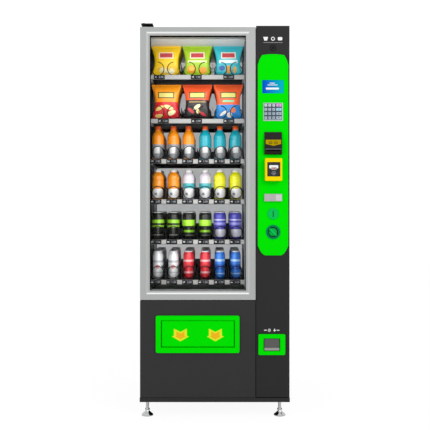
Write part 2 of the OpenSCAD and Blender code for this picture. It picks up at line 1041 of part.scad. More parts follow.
// Path of a spiral: each entry is [angle, radius, depth, normal scale outwards, normal along turn]
spiral_steps = spiral_turns * steps_per_turn;
spiral_length = spiral_turns * spiral_pitch;
spiral_path = concat(
    [for (s = [0:spiral_steps])
        [360 * s / steps_per_turn, spiral_r, s * spiral_pitch / steps_per_turn, 1, 0]],
    [[0, spiral_r, spiral_length + 3, 1, 1], [0, 3, spiral_length + 3, 0, 1]]
);

// The three corners of the wire at one path entry, with the spiral's axis along Y
function wire_corners(p) = let (
        out = [cos(p[0]), 0, sin(p[0])],
        turn = [-sin(p[0]), 0, cos(p[0])],
        normal = p[3] * out + p[4] * turn
    )
    [for (k = [0:2]) p[1] * out + [0, p[2], 0]
        + wire_w / 2 * (cos(120 * k) * normal + sin(120 * k) * [0, 1, 0])];

// One spiral, free at the front, with its rear end bent in to the drive hub
module spiral() {
    last = len(spiral_path) - 1;
    polyhedron(
        points = [for (p = spiral_path) each wire_corners(p)],
        faces = concat(
            [[0, 1, 2], [3 * last + 2, 3 * last + 1, 3 * last]],
            [for (s = [0:last - 1], k = [0:2]) [3 * s + k, 3 * s + 3 + k, 3 * s + 3 + (k + 1) % 3]],
            [for (s = [0:last - 1], k = [0:2]) [3 * s + k, 3 * s + 3 + (k + 1) % 3, 3 * s + (k + 1) % 3]]
        )
    );
}

// A spiral in its lane; on the bag trays the two of a pair are mirror images that start at the top
module spiral_in_lane(i, lane) {
    bag_tray = i >= bag_tray_first;
    mirrored = bag_tray && lane % 2 == 0;
    color("#2a2a2a")
        translate([lane_x(lane), spiral_front, tray_floor(i) + spiral_axis_h])
            mirror([mirrored ? 1 : 0, 0, 0])
                rotate([0, bag_tray ? -90 : 0, 0])
                    spiral();
}

// Every spiral apart from the two that turn
module spirals() {
    for (i = tray_index)
        for (lane = [0:lanes - 1])
            if (i < 5 || lane > 1)
                spiral_in_lane(i, lane);
}

// Fins on round tubes, as in an evaporator or a condenser
module finned_coil(left, right, front, back, low, high) {
    fin_pitch = 16;
    tube_r = 5;
    for (x = [left:fin_pitch:right])
        between([x, front, low], [x + 2, back, high]);
    for (z = [low + 30:60:high - 20])
        rod_x((front + back) / 2, z, tube_r, left - 12, right + 12);
}

// Perforated rear duct panel and the evaporator coil behind it
module evaporator() {
    front = 325;
    color("#c8cacb") {
        along_depth(front, front + 2)
            difference() {
                rect(cold_left + 1, cold_right - 1, cold_bottom + 2, cold_top - 2);
                louvres(-290, 110, 605, 650, 20);
                louvres(-290, 110, 1810, 1870, 20);
            }
        finned_coil(-280, 100, 336, 364, 700, 1100);
    }
}

// Open-fronted sheet bin with a sloping floor, in the well of the liner
module delivery_bin() {
    left = cold_left + 5;
    right = cold_right - 5;
    front = cabinet_front + 3;
    back = well_back - 4;
    t = 3;
    color("#2b2b2b") {
        along_width(left, right)
            polygon([
                [front, well_bottom + 1], [back, well_bottom + 26], [back, cold_bottom - 4],
                [back - t, cold_bottom - 4], [back - t, well_bottom + 29], [front + t, well_bottom + 4],
                [front + t, well_bottom + 16], [front, well_bottom + 16]
            ]);
        for (x = [left, right - t])
            along_width(x, x + t)
                polygon([
                    [front, well_bottom + 1], [back, well_bottom + 26],
                    [back, cold_bottom - 4], [front, cold_bottom - 4]
                ]);
    }
}

module light_strips() {
    color("white")
        for (x = [cold_left + 3, cold_right - 12])
            between([x, cabinet_front + 15, 625], [x + 9, cabinet_front + 27, 1880]);
}

// ---------------------------------------------------------------- cooling unit and electrics

// Hermetic compressor: a domed pot on a mounting plate with its service pipe
module compressor() {
    pot_r = 72;
    floor_z = cabinet_bottom + sheet;
    pot_low = floor_z + 12;
    translate([-120, 120, 0])
        color("#1c1c1c") {
            translate([0, 0, pot_low])
                rotate_extrude()
                    polygon(concat(
                        [[0, 0], [pot_r - 12, 0], [pot_r, 12], [pot_r, 130]],
                        [for (a = [10:10:90]) [pot_r * cos(a), 130 + 48 * sin(a)]]
                    ));
            between([-95, -80, floor_z + 6], [95, 80, floor_z + 13]);
            for (x = [-80, 80])
                for (y = [-65, 65])
                    rod_z(x, y, 12, floor_z, floor_z + 7);
            rod_y(30, pot_low + 90, 5, 60, 120);
        }
}

// Condenser coil, the fan shroud behind it and the fan motor on its three arms
module condenser() {
    floor_z = cabinet_bottom + sheet;
    color("#9ba0a4") {
        finned_coil(fan_x - 150, fan_x + 150, 285, 320, floor_z + 20, floor_z + 340);
        difference() {
            union() {
                along_depth(326, 329)
                    rect(fan_x - 165, fan_x + 165, floor_z, floor_z + 360);
                rod_y(fan_x, fan_z, fan_r + 9, 327, fan_front + 34);
            }
            rod_y(fan_x, fan_z, fan_r + 5, 320, fan_front + 40);
        }
        for (a = [90, 210, 330])
            translate([fan_x, 0, fan_z])
                rotate([0, a, 0])
                    between([20, fan_front + 36 - 3, -6], [fan_r + 8, fan_front + 36, 6]);
        rod_y(fan_x, fan_z, 28, fan_front + 32, fan_front + 58);
        rod_y(fan_x, fan_z, fan_shaft_r, fan_front + 12, fan_front + 34);
    }
}

// Five-bladed fan whose hub runs on the motor's shaft
module fan_blade() {
    blades = 5;
    hub_r = 26;
    color("#404040")
        difference() {
            union() {
                rod_y(fan_x, fan_z, hub_r, fan_front + 2, fan_front + fan_depth);
                intersection() {
                    rod_y(fan_x, fan_z, fan_r, fan_front, fan_front + fan_depth);
                    translate([fan_x, fan_front + fan_depth / 2, fan_z])
                        for (b = [0:blades - 1])
                            rotate([0, b * 360 / blades, 0])
                                rotate([28, 0, 0])
                                    between([hub_r - 6, -1.2, -26], [fan_r + 5, 1.2, 26]);
                }
            }
            rod_y(
                fan_x, fan_z, fan_shaft_r + pin_play,
                fan_front + 10, fan_front + fan_depth + eps
            );
        }
}

// Mains cord: a grommet in the back panel, a tied hank and a plug hung flat on the back
module power_cord() {
    cord_r = 4;
    y = cabinet_back + 7;
    hank_r = 34;
    hank_low = cord_z - 150;
    color("#151515") {
        rod_y(cord_x, cord_z, 6, cabinet_back - 6, cabinet_back + 1);
        rod_y(cord_x, cord_z, 9, cabinet_back, y + cord_r);
        for (x = [cord_x - hank_r, cord_x + hank_r])
            rod_z(x, y, cord_r, hank_low, cord_z);
        for (end = [[cord_z, 0], [hank_low, 180]])
            translate([cord_x, y, end[0]])
                rotate([90, 0, 0])
                    rotate_extrude(angle = 180, start = end[1])
                        translate([hank_r, 0])
                            circle(r = cord_r);
        between([cord_x - hank_r - 2, y - 4, cord_z - 80], [cord_x + hank_r + 2, y + 7, cord_z - 65]);
        between([cord_x - 15, cabinet_back, hank_low - 72], [cord_x + 15, cord_back, hank_low - 30]);
        for (x = [cord_x - 7, cord_x + 7])
            between([x - 1, y - 3, hank_low - 84], [x + 1, y + 3, hank_low - 71]);
    }
}

// Controller housing in the electronics bay, open at the front, with its board and cable glands
module control_box() {
    left = 214;
    right = 330;
    low = 1100;
    high = 1480;
    color("#b0b4b8") {
        difference() {
            between([left, 60, low], [right, 280, high]);
            between([left + sheet, 60 - eps, low + sheet], [right - sheet, 280 - sheet, high - sheet]);
        }
        between([left + 1, 150, low + 40], [left + 12, 252, high - 40]);
        for (y = [100, 170, 240])
            rod_z((left + right) / 2, y, 9, low - 15, low + 1);
    }
}

// ---------------------------------------------------------------- nodes

door_frame();
door_liner();
lower_fascia();
column_fascia();
window_frame();
window_glass();
door_gasket();
control_panel();
display_module();
keypad_plate();
bill_validator();
card_reader();
coin_slot_plate();
coin_mech();
cash_box();
lock_cup();
coin_cup_frame();
pickup_frame();
coin_return_button();
lock_handle();
latch_bar();
coin_cup_flap();
pickup_flap();
keypad_key(0, 0);  // key_1
keypad_key(1, 0);  // key_2
keypad_key(2, 0);  // key_3
keypad_key(0, 1);  // key_4
keypad_key(1, 1);  // key_5
keypad_key(2, 1);  // key_6
keypad_key(0, 2);  // key_7
keypad_key(1, 2);  // key_8
keypad_key(2, 2);  // key_9
keypad_key(0, 3);  // key_star
keypad_key(1, 3);  // key_0
keypad_key(2, 3);  // key_hash
keypad_key(3, 0);  // key_clear
keypad_key(3, 1);  // key_enter
keypad_key(3, 2);  // key_up
keypad_key(3, 3);  // key_down
cabinet_shell();
insulated_liner();
base_plinth();
levelling_feet();
hinge_brackets();
tray_rails();
evaporator();
delivery_bin();
compressor();
condenser();
fan_blade();
power_cord();
control_box();
light_strips();
tray_pans();
lane_dividers();
price_strips();
spiral_motors();
spirals();
spiral_in_lane(5, 0);  // spiral_1_left
spiral_in_lane(5, 1);  // spiral_1_right
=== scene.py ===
"""Looks for the glass-front vending machine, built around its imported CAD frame.

Lengths are in metres in the frame's own axes: +X to the right, the front faces -Y, +Z up.
"""
import math
import random

import bmesh
import bpy
from mathutils import Matrix, Vector

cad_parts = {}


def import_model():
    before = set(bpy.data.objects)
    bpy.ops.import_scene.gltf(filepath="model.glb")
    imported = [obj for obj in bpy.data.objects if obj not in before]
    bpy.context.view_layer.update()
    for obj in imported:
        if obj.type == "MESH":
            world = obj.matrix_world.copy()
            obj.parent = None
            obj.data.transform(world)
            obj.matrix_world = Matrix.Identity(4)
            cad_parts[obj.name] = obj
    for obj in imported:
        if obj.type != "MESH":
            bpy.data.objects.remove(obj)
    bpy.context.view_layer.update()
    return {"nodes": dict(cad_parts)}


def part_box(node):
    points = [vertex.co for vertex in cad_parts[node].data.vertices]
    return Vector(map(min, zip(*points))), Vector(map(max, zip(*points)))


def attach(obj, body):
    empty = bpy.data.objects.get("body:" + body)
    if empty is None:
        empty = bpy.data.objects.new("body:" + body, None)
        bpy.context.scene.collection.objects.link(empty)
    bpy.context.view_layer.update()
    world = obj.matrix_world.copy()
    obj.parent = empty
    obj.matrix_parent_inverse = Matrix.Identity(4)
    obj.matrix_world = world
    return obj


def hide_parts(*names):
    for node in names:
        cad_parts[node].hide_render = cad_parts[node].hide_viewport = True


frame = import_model()

MM = 0.001
LANES = 6
LANE_PITCH = 82.5 * MM
SPIRAL_PITCH = 75 * MM
SPIRAL_TURNS = 6
SPIRAL_RADIUS = 32 * MM
WIRE_RADIUS = 2.2 * MM
SPIRAL_AXIS_RISE = 40 * MM
SPIRAL_STEPS = 28
BAG_TRAYS = (4, 5)
TOP_TRAY = 5
OPENING = (-322 * MM, 155 * MM, 621 * MM, 1886 * MM)


# ------------------------------------------------------------------ shader formulas
class Formula:
    """A shader value that ordinary arithmetic turns into Math nodes."""

    def __init__(self, tree, socket):
        self.tree = tree
        self.socket = socket

    def apply(self, operation, *others, clamp=False):
        node = self.tree.nodes.new("ShaderNodeMath")
        node.operation = operation
        node.use_clamp = clamp
        for index, value in enumerate((self, *others)):
            if isinstance(value, Formula):
                self.tree.links.new(value.socket, node.inputs[index])
            else:
                node.inputs[index].default_value = value
        return Formula(self.tree, node.outputs[0])

    def __add__(self, other):
        return self.apply("ADD", other)

    def __sub__(self, other):
        return self.apply("SUBTRACT", other)

    def __mul__(self, other):
        return self.apply("MULTIPLY", other)

    def __truediv__(self, other):
        return self.apply("DIVIDE", other)

    def __abs__(self):
        return self.apply("ABSOLUTE")

    def larger(self, other):
        return self.apply("MAXIMUM", other)

    def inside(self, softness=0.3 * MM):
        """1 where this signed distance is below zero, 0 outside, soft in between."""
        return (self * (-1 / softness)).apply("ADD", 0.5, clamp=True)


def rgb(code):
    """Linear RGBA of a #rrggbb colour."""
    channels = [int(code[start:start + 2], 16) / 255 for start in (1, 3, 5)]
    linear = [c / 12.92 if c <= 0.04045 else ((c + 0.055) / 1.055) ** 2.4 for c in channels]
    return (*linear, 1.0)


class Surface:
    """One node-based material. Its methods add what the real surface shows."""

    def __init__(self, name, colour, roughness, metallic=0.0, gloss=0.5, coat=0.0):
        self.data = bpy.data.materials.new(name)
        self.data.use_nodes = True
        self.data.diffuse_color = rgb(colour)
        self.tree = self.data.node_tree
        self.shader = self.tree.nodes["Principled BSDF"]
        self.roughness = roughness
        self.set("Base Color", rgb(colour))
        self.set("Roughness", roughness)
        self.set("Metallic", metallic)
        self.set("Specular IOR Level", gloss)
        self.set("Coat Weight", coat)
        self.colour = rgb(colour)
        coordinates = self.tree.nodes.new("ShaderNodeTexCoord")
        self.place = coordinates.outputs["Object"]
        self.print_place = coordinates.outputs["UV"]

    def feed(self, socket, value):
        if isinstance(value, Formula):
            value = value.socket
        if isinstance(value, bpy.types.NodeSocket):
            self.tree.links.new(value, socket)
        else:
            socket.default_value = value

    def set(self, name, value):
        self.feed(self.shader.inputs[name], value)

    def mix(self, share, low, high, blend="MIX"):
        node = self.tree.nodes.new("ShaderNodeMix")
        node.data_type = "RGBA"
        node.blend_type = blend
        self.feed(node.inputs[0], share)
        self.feed(node.inputs[6], low)
        self.feed(node.inputs[7], high)
        return node.outputs[2]

    def split(self, socket):
        """The three parts of a vector as formulas."""
        node = self.tree.nodes.new("ShaderNodeSeparateXYZ")
        self.tree.links.new(socket, node.inputs[0])
        return [Formula(self.tree, output) for output in node.outputs]

    def noise(self, scale, detail=2.0, stretch=(1, 1, 1)):
        mapping = self.tree.nodes.new("ShaderNodeMapping")
        mapping.inputs["Scale"].default_value = stretch
        self.tree.links.new(self.place, mapping.inputs["Vector"])
        texture = self.tree.nodes.new("ShaderNodeTexNoise")
        texture.inputs["Scale"].default_value = scale
        texture.inputs["Detail"].default_value = detail
        self.tree.links.new(mapping.outputs[0], texture.inputs["Vector"])
        return Formula(self.tree, texture.outputs["Fac"])

    def lay(self, mask, colour):
        """Prints a colour over what is already there, where the mask is 1."""
        self.colour = self.mix(mask, self.colour, rgb(colour))
        return self

    def wear(self, colour, amount=0.5, radius=1.2 * MM):
        """Lightens outer edges, broken up by noise, where hands and cloths rub them."""
        bevel = self.tree.nodes.new("ShaderNodeBevel")
        bevel.samples = 3
        bevel.inputs["Radius"].default_value = radius
        geometry = self.tree.nodes.new("ShaderNodeNewGeometry")
        product = self.tree.nodes.new("ShaderNodeVectorMath")
        product.operation = "DOT_PRODUCT"
        self.tree.links.new(bevel.outputs[0], product.inputs[0])
        self.tree.links.new(geometry.outputs["Normal"], product.inputs[1])
        flatness = Formula(self.tree, product.outputs["Value"])
        edge = (flatness * -4 + 4).apply("MULTIPLY", self.noise(70, 3) * amount, clamp=True)
        return self.lay(edge, colour)

    def finish(self, mottle=0.05, grain=700, depth=0.06 * MM, spread=0.08, stretch=(1, 1, 1)):
        """Uneven tone, uneven gloss and a fine surface relief."""
        tone = self.noise(7, 4) * (2 * mottle) + (1 - mottle)
        grey = self.tree.nodes.new("ShaderNodeCombineColor")
        for socket in grey.inputs:
            self.feed(socket, tone)
        self.set("Base Color", self.mix(1.0, self.colour, grey.outputs[0], "MULTIPLY"))
        self.set("Roughness", self.noise(45, 3) * spread + (self.roughness - spread / 2))
        bump = self.tree.nodes.new("ShaderNodeBump")
        bump.inputs["Strength"].default_value = 0.35
        bump.inputs["Distance"].default_value = depth
        self.feed(bump.inputs["Height"], self.noise(grain, 2, stretch))
        self.set("Normal", bump.outputs[0])
        return self.data


# ------------------------------------------------------------------ materials
MOULDED_FINISH = {"mottle": 0.035, "grain": 1400, "depth": 0.03 * MM, "spread": 0.1}
BRUSHED_FINISH = {"mottle": 0.05, "grain": 60, "depth": 0.02 * MM, "spread": 0.14}
GRAIN_UPRIGHT = (1, 1, 40)
GRAIN_ACROSS = (40, 1, 1)


def middle(node):
    low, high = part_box(node)
    return (low + high) / 2


def beyond_box(surface, left, right, bottom, top, margin):
    """Signed distance past the edges of an upright box, seen from the front."""
    x, y, z = surface.split(surface.place)
    beside = abs(x - (left + right) / 2) - ((right - left) / 2 + margin)
    above = abs(z - (bottom + top) / 2) - ((top - bottom) / 2 + margin)
    return beside.larger(above)


def true_normal(surface):
    """The three parts of the unsmoothed surface normal as formulas."""
    geometry = surface.tree.nodes.new("ShaderNodeNewGeometry")
    return surface.split(geometry.outputs["True Normal"])


def powder_coat(name, colour, roughness=0.45, gloss=0.15, worn="#5a5a5a"):
    surface = Surface(name, colour, roughness, gloss=gloss)
    return surface.wear(worn, 0.35).finish(mottle=0.05, grain=900, depth=0.08 * MM)


def moulded(name, colour, roughness=0.38, gloss=0.4, worn=None):
    surface = Surface(name, colour, roughness, gloss=gloss)
    if worn:
        surface.wear(worn, 0.4)
    return surface.finish(**MOULDED_FINISH)


def brushed(name, colour, roughness=0.35, metallic=0.85, stretch=GRAIN_UPRIGHT):
    surface = Surface(name, colour, roughness, metallic=metallic)
    return surface.finish(stretch=stretch, **BRUSHED_FINISH)


def silver_frame(name):
    """Brushed silver paint with painted highlights on the chamfers and painted shade on the inner edge round
    the opening.
    """
    surface = Surface(name, "#b2b5b3", 0.38, metallic=0.3)
    across, depth, up = true_normal(surface)
    sloped = abs(abs(depth) - 0.6) - 0.35
    chamfer_highlight = sloped.inside(0.04)
    # Painted highlights: white on the upper and lower chamfers, pale grey on the side chamfers.
    surface.lay(chamfer_highlight * (abs(up) - 0.25).apply("MULTIPLY", 8, clamp=True), "#ffffff")
    surface.lay(chamfer_highlight * (abs(across) - 0.25).apply("MULTIPLY", 8, clamp=True), "#c4c7c6")
    # Painted shade: near-black on the frame's inner faces round the opening.
    reveal_shade = beyond_box(surface, *OPENING, 1 * MM).inside()
    surface.lay(reveal_shade * (abs(depth) - 0.3).inside(0.1), "#161818")
    return surface.finish(mottle=0.04, grain=60, depth=0.02 * MM, spread=0.14, stretch=GRAIN_UPRIGHT)


def liner(name):
    """White inner skin with painted dark green light on a strip of its floor."""
    surface = Surface(name, "#d2d4d5", 0.45, gloss=0.1)
    up = true_normal(surface)[2]
    height = surface.split(surface.place)[2]
    # Painted green light: the upward faces of the floor strip are tinted dark green.
    floor_green_light = (abs(height - 594 * MM) - 7 * MM).inside(1 * MM)
    surface.lay(floor_green_light * (up * -1 + 0.6).inside(0.1), "#2c7a2c")
    return surface.finish(**MOULDED_FINISH)


def flap_metal(name):
    """Dark brushed metal with a lighter finger lip along the lower edge."""
    surface = Surface(name, "#5b5959", 0.4, metallic=0.3)
    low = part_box("coin_cup_flap")[0]
    height = surface.split(surface.place)[2]
    surface.lay((height - (low.z + 13 * MM)).inside(6 * MM), "#a5a3a2")
    return surface.finish(stretch=GRAIN_ACROSS, **BRUSHED_FINISH)


def keypad_metal(name):
    """Brushed metal that is dark in the field between the keys."""
    surface = Surface(name, "#b9c0c4", 0.34, metallic=0.4)
    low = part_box("key_star")[0]
    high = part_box("key_clear")[1]
    field = beyond_box(surface, low.x, high.x, low.z, high.z, 2 * MM).inside()
    surface.lay(field, "#45515e")
    return surface.finish(stretch=GRAIN_ACROSS, **BRUSHED_FINISH)


def ringed(name, colour, ring_shade, centre, radius, half_width):
    """A painted moulding with one ring of painted shade about a centre, standing for the relief of a raised
    ring.
    """
    surface = Surface(name, colour, 0.4, gloss=0.06)
    x, y, z = surface.split(surface.place)
    across = x - centre.x
    up = z - centre.z
    distance = (across * across + up * up).apply("SQRT")
    # Painted shade: a darker ring about the centre.
    surface.lay((abs(distance - radius) - half_width).inside(0.6 * MM), ring_shade)
    return surface.finish(**MOULDED_FINISH)


def plated(name, colour, roughness=0.12):
    surface = Surface(name, colour, roughness, metallic=1.0)
    return surface.finish(mottle=0.06, grain=300, depth=0.01 * MM, spread=0.08)


def galvanised(name):
    surface = Surface(name, "#b9bcbd", 0.42, metallic=0.7)
    cells = surface.tree.nodes.new("ShaderNodeTexVoronoi")
    cells.inputs["Scale"].default_value = 90
    surface.tree.links.new(surface.place, cells.inputs["Vector"])
    surface.colour = surface.mix(0.12, surface.colour, cells.outputs["Color"], "MULTIPLY")
    return surface.finish(mottle=0.06, grain=200, depth=0.02 * MM)


def lit(name, colour, strength, gloss=0.05):
    surface = Surface(name, colour, 0.45, gloss=gloss)
    surface.set("Emission Color", rgb(colour))
    surface.set("Emission Strength", surface.noise(30) * (0.3 * strength) + 0.85 * strength)
    return surface.finish(mottle=0.02)


def pane_glass(name):
    """A thin clear pane: see-through, with a weak reflection that grows at grazing angles."""
    surface = Surface(name, "#eef6f2", 0.05)
    tree = surface.tree
    clear = tree.nodes.new("ShaderNodeBsdfTransparent")
    clear.inputs["Color"].default_value = rgb("#fefefe")
    mirror = tree.nodes.new("ShaderNodeBsdfGlossy")
    surface.feed(mirror.inputs["Roughness"], surface.noise(20) * 0.05 + 0.02)
    fresnel = tree.nodes.new("ShaderNodeFresnel")
    fresnel.inputs["IOR"].default_value = 1.45
    share = Formula(tree, fresnel.outputs[0]) * 0.07
    blend = tree.nodes.new("ShaderNodeMixShader")
    surface.feed(blend.inputs[0], share)
    tree.links.new(clear.outputs[0], blend.inputs[1])
    tree.links.new(mirror.outputs[0], blend.inputs[2])
    tree.links.new(blend.outputs[0], tree.nodes["Material Output"].inputs["Surface"])
    surface.set("Alpha", 0.15)
    return surface.data


def screen(name, low, high):
    """A lit display whose colour runs from one side to the other."""
    surface = Surface(name, low, 0.4, gloss=0.03)
    left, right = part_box("display_module")
    across = surface.split(surface.place)[0]
    share = (across - left.x) * (1 / (right.x - left.x))
    blue_green = surface.mix(share, rgb(low), rgb(high))
    surface.colour = blue_green
    surface.set("Emission Color", blue_green)
    surface.set("Emission Strength", 0.35)
    return surface.finish(mottle=0.02, grain=2500, depth=0.01 * MM)


MATERIALS = {
    "column": powder_coat("column_paint", "#292929"),
    "fascia": powder_coat("fascia_paint", "#323232"),
    "cabinet": powder_coat("cabinet_paint", "#2e2e2f"),
    "frame_steel": powder_coat("door_frame_paint", "#131314"),
    "silver": silver_frame("silver_frame_metal"),
    "green": moulded("green_plastic", "#00e400", 0.45, 0.02, worn="#10f010"),
    "white_liner": moulded("liner_plastic", "#d2d4d5", 0.45, 0.25),
    "rubber": moulded("gasket_rubber", "#2b2d30", 0.6, 0.2),
    "pane": pane_glass("window_pane"),
    "black": moulded("black_plastic", "#0c0c0d", 0.45, 0.12),
    # Dark sheets on the left wall: painted shadow.
    "shadow_sheet": moulded("wall_shadow_sheets", "#1d1f20", 0.55, 0.2),
    "liner": liner("compartment_liner"),
    "keypad": keypad_metal("keypad_metal"),
    # The lower key rows are darker copies of the same key metal: painted shade.
    "key": moulded("key_metal", "#cbd6de", 0.3, 0.2),
    "key_mid_shade": moulded("key_metal_mid_shade", "#b3c3d0", 0.3, 0.2),
    "key_low_shade": moulded("key_metal_low_shade", "#a9b9c8", 0.3, 0.2),
    "key_pink": moulded("key_pink", "#dba6dd", 0.3, 0.4),
    "key_cyan": moulded("key_cyan", "#9fd6ea", 0.3, 0.4),
    "legend": moulded("legend_ink", "#303c50", 0.5, 0.2),
    "validator": moulded("validator_plastic", "#272323", 0.4, 0.08, worn="#454142"),
    "amber": lit("amber_window", "#a88e00", 0.12, 0.02),
    "slot_lip": moulded("slot_lip", "#5d626e", 0.4, 0.15),
    "amber_dark": moulded("amber_mark", "#5f5200", 0.4, 0.1),
    "yellow": moulded("reader_plastic", "#f7d800", 0.36, 0.05, worn="#ffe820"),
    "reader_glass": moulded("reader_glass", "#1b1c22", 0.12, 0.5),
    "white_ink": moulded("white_ink", "#f2f2f2", 0.5, 0.2),
    "grey_ink": moulded("grey_ink", "#9aa0a6", 0.5, 0.2),
    "orange_ink": moulded("orange_ink", "#f26a2a", 0.5, 0.2),
    "button": brushed("button_metal", "#b7b5b5", 0.34, 0.45, (40, 1, 1)),
    "button_light": brushed("button_inset_metal", "#d2d2d0", 0.3, 0.45, (40, 1, 1)),
    "teal": moulded("coin_plate_metal", "#08c254", 0.35, 0.05, worn="#30d874"),
    "lock_ring": ringed("lock_metal", "#0b9450", "#0a6f47", middle("lock_cup"), 29.5 * MM, 3 * MM),
    "flap": flap_metal("coin_flap_metal"),
    "lens": moulded("camera_lens", "#060607", 0.1, 0.2),
    "arrow_edge": moulded("arrow_yellow", "#e6ea1c", 0.4, 0.25),
    "arrow_core": moulded("arrow_orange", "#f2b800", 0.4, 0.25),
    # Near-black tray paint, darkened further to stand for the shade under the trays: partly paint, partly
    # painted shade.
    "tray": powder_coat("tray_paint", "#0a0a0b", 0.5, 0.05, "#222222"),
    "strip": moulded("price_strip", "#969694", 0.45, 0.05),
    "wire": plated("spiral_wire", "#1e2022", 0.34),
    "motor": moulded("motor_plastic", "#5e605f", 0.5, 0.05),
    # Dark bin steel with a green tint that is painted green light bounced from the green panels.
    "bin": powder_coat("bin_steel", "#0a140a", 0.5, 0.1, "#1c331c"),
    "zinc": galvanised("galvanised_steel"),
    "chrome": plated("foot_chrome", "#d9dadb", 0.08),
    "coil": brushed("coil_metal", "#c7c9c9", 0.35, 0.8),
    "compressor": powder_coat("compressor_paint", "#101112", 0.35, 0.4, "#3a3a3a"),
    "duct": powder_coat("rail_paint", "#8e9192", 0.5, 0.05, "#b0b0b0"),
    # The rear duct glows though it is no lamp: painted light that brightens the back wall.
    "rear_duct_glow": lit("rear_duct_painted_glow", "#c9cbcc", 0.62),
    "cord": moulded("cord_rubber", "#1a1a1a", 0.55, 0.25),
    "box": galvanised("control_box_steel"),
    "light": lit("light_diffuser", "#7d8488", 0.12),
    "fan": moulded("fan_plastic", "#1c1d1f", 0.4, 0.35),
    "display_case": moulded("display_plastic", "#15181d", 0.3, 0.4),
    "screen": screen("display_screen", "#0634b4", "#00a2a8"),
}

NODE_LOOKS = {
    "door_frame": ("frame_steel", 0.6), "door_liner": ("white_liner", 0.6),
    "lower_fascia": ("fascia", 0.8), "column_fascia": ("column", 0.8),
    "window_frame": ("silver", 0.6), "window_glass": ("pane", 0.0),
    "door_gasket": ("rubber", 0.8), "control_panel": ("green", 0.0),
    "display_module": ("display_case", 0.4), "keypad_plate": ("keypad", 0.4),
    "bill_validator": ("validator", 0.8), "card_reader": ("yellow", 0.8),
    "coin_slot_plate": ("teal", 0.5), "coin_mech": ("zinc", 0.3), "cash_box": ("zinc", 0.4),
    "lock_cup": ("lock_ring", 0.6), "coin_cup_frame": ("green", 0.8),
    "pickup_frame": ("green", 0.8), "coin_return_button": ("button", 0.8),
    "lock_handle": ("teal", 0.6), "latch_bar": ("zinc", 0.4), "coin_cup_flap": ("flap", 0.5),
    "pickup_flap": ("green", 0.6), "cabinet_shell": ("cabinet", 0.0),
    "insulated_liner": ("liner", 1.5), "base_plinth": ("cabinet", 0.6),
    "levelling_feet": ("chrome", 0.4), "hinge_brackets": ("frame_steel", 0.5),
    "tray_rails": ("duct", 0.0), "evaporator": ("rear_duct_glow", 0.0), "delivery_bin": ("bin", 0.4),
    "compressor": ("compressor", 0.5), "condenser": ("coil", 0.0), "fan_blade": ("fan", 0.3),
    "power_cord": ("cord", 0.0), "control_box": ("box", 0.4), "light_strips": ("light", 0.6),
    "tray_pans": ("tray", 0.3), "lane_dividers": ("black", 0.3), "price_strips": ("strip", 0.4),
    "spiral_motors": ("motor", 0.6),
}
KEY_NAMES = [name for name in frame["nodes"] if name.startswith("key_")]
KEY_LOOKS = {"key_clear": "key_pink", "key_enter": "key_cyan"}
# Middle and lower rows take the darker copies: painted shade.
KEY_LOOKS.update({f"key_{name}": "key_mid_shade" for name in ("4", "5", "6")})
KEY_LOOKS.update({f"key_{name}": "key_low_shade" for name in ("7", "8", "9", "up", "star", "0", "hash", "down")})


def dress_node(name, look, bevel_mm):
    """Gives a CAD node its material, and rounds its sharp edges a little."""
    node = frame["nodes"][name]
    node.data.materials.clear()
    node.data.materials.append(MATERIALS[look])
    if bevel_mm == 0:
        return
    custom = node.data.attributes.get("custom_normal")
    if custom:
        node.data.attributes.remove(custom)
    node.data.shade_smooth()
    weld = node.modifiers.new("weld", "WELD")
    weld.merge_threshold = 0.01 * MM
    bevel = node.modifiers.new("edges", "BEVEL")
    bevel.width = bevel_mm * MM
    bevel.segments = 2
    bevel.limit_method = "ANGLE"
    bevel.angle_limit = math.radians(35)
    bevel.harden_normals = True


for node_name, (look_name, edge_mm) in NODE_LOOKS.items():
    dress_node(node_name, look_name, edge_mm)
for node_name in KEY_NAMES:
    dress_node(node_name, KEY_LOOKS.get(node_name, "key"), 1.2)


# ------------------------------------------------------------------ mesh building
def rounded(left, right, low, high, radius, steps=5):
    """Outline of a rectangle with round corners, anticlockwise seen from the front."""
    centres = [
        (right - radius, low + radius, -90), (right - radius, high - radius, 0),
        (left + radius, high - radius, 90), (left + radius, low + radius, 180),
    ]
    outline = []
    for x, z, start in centres:
        for step in range(steps + 1):
            angle = math.radians(start + 90 * step / steps)
            outline.append((x + radius * math.cos(angle), z + radius * math.sin(angle)))
    return outline


def disc(x, z, radius, steps=32):
    angles = [2 * math.pi * step / steps for step in range(steps)]
    return [(x + radius * math.cos(a), z + radius * math.sin(a)) for a in angles]


def inset(outline, by):
    """The outline moved inwards by a distance, corner by corner."""
    moved = []
    for index, point in enumerate(outline):
        before = Vector(point) - Vector(outline[index - 1])
        after = Vector(outline[(index + 1) % len(outline)]) - Vector(point)
        inward = Vector((-before.y, before.x)).normalized() + Vector((-after.y, after.x)).normalized()
        scale = 2 / max(inward.length_squared, 0.2)
        moved.append(tuple(Vector(point) + inward * scale * by))
    return moved


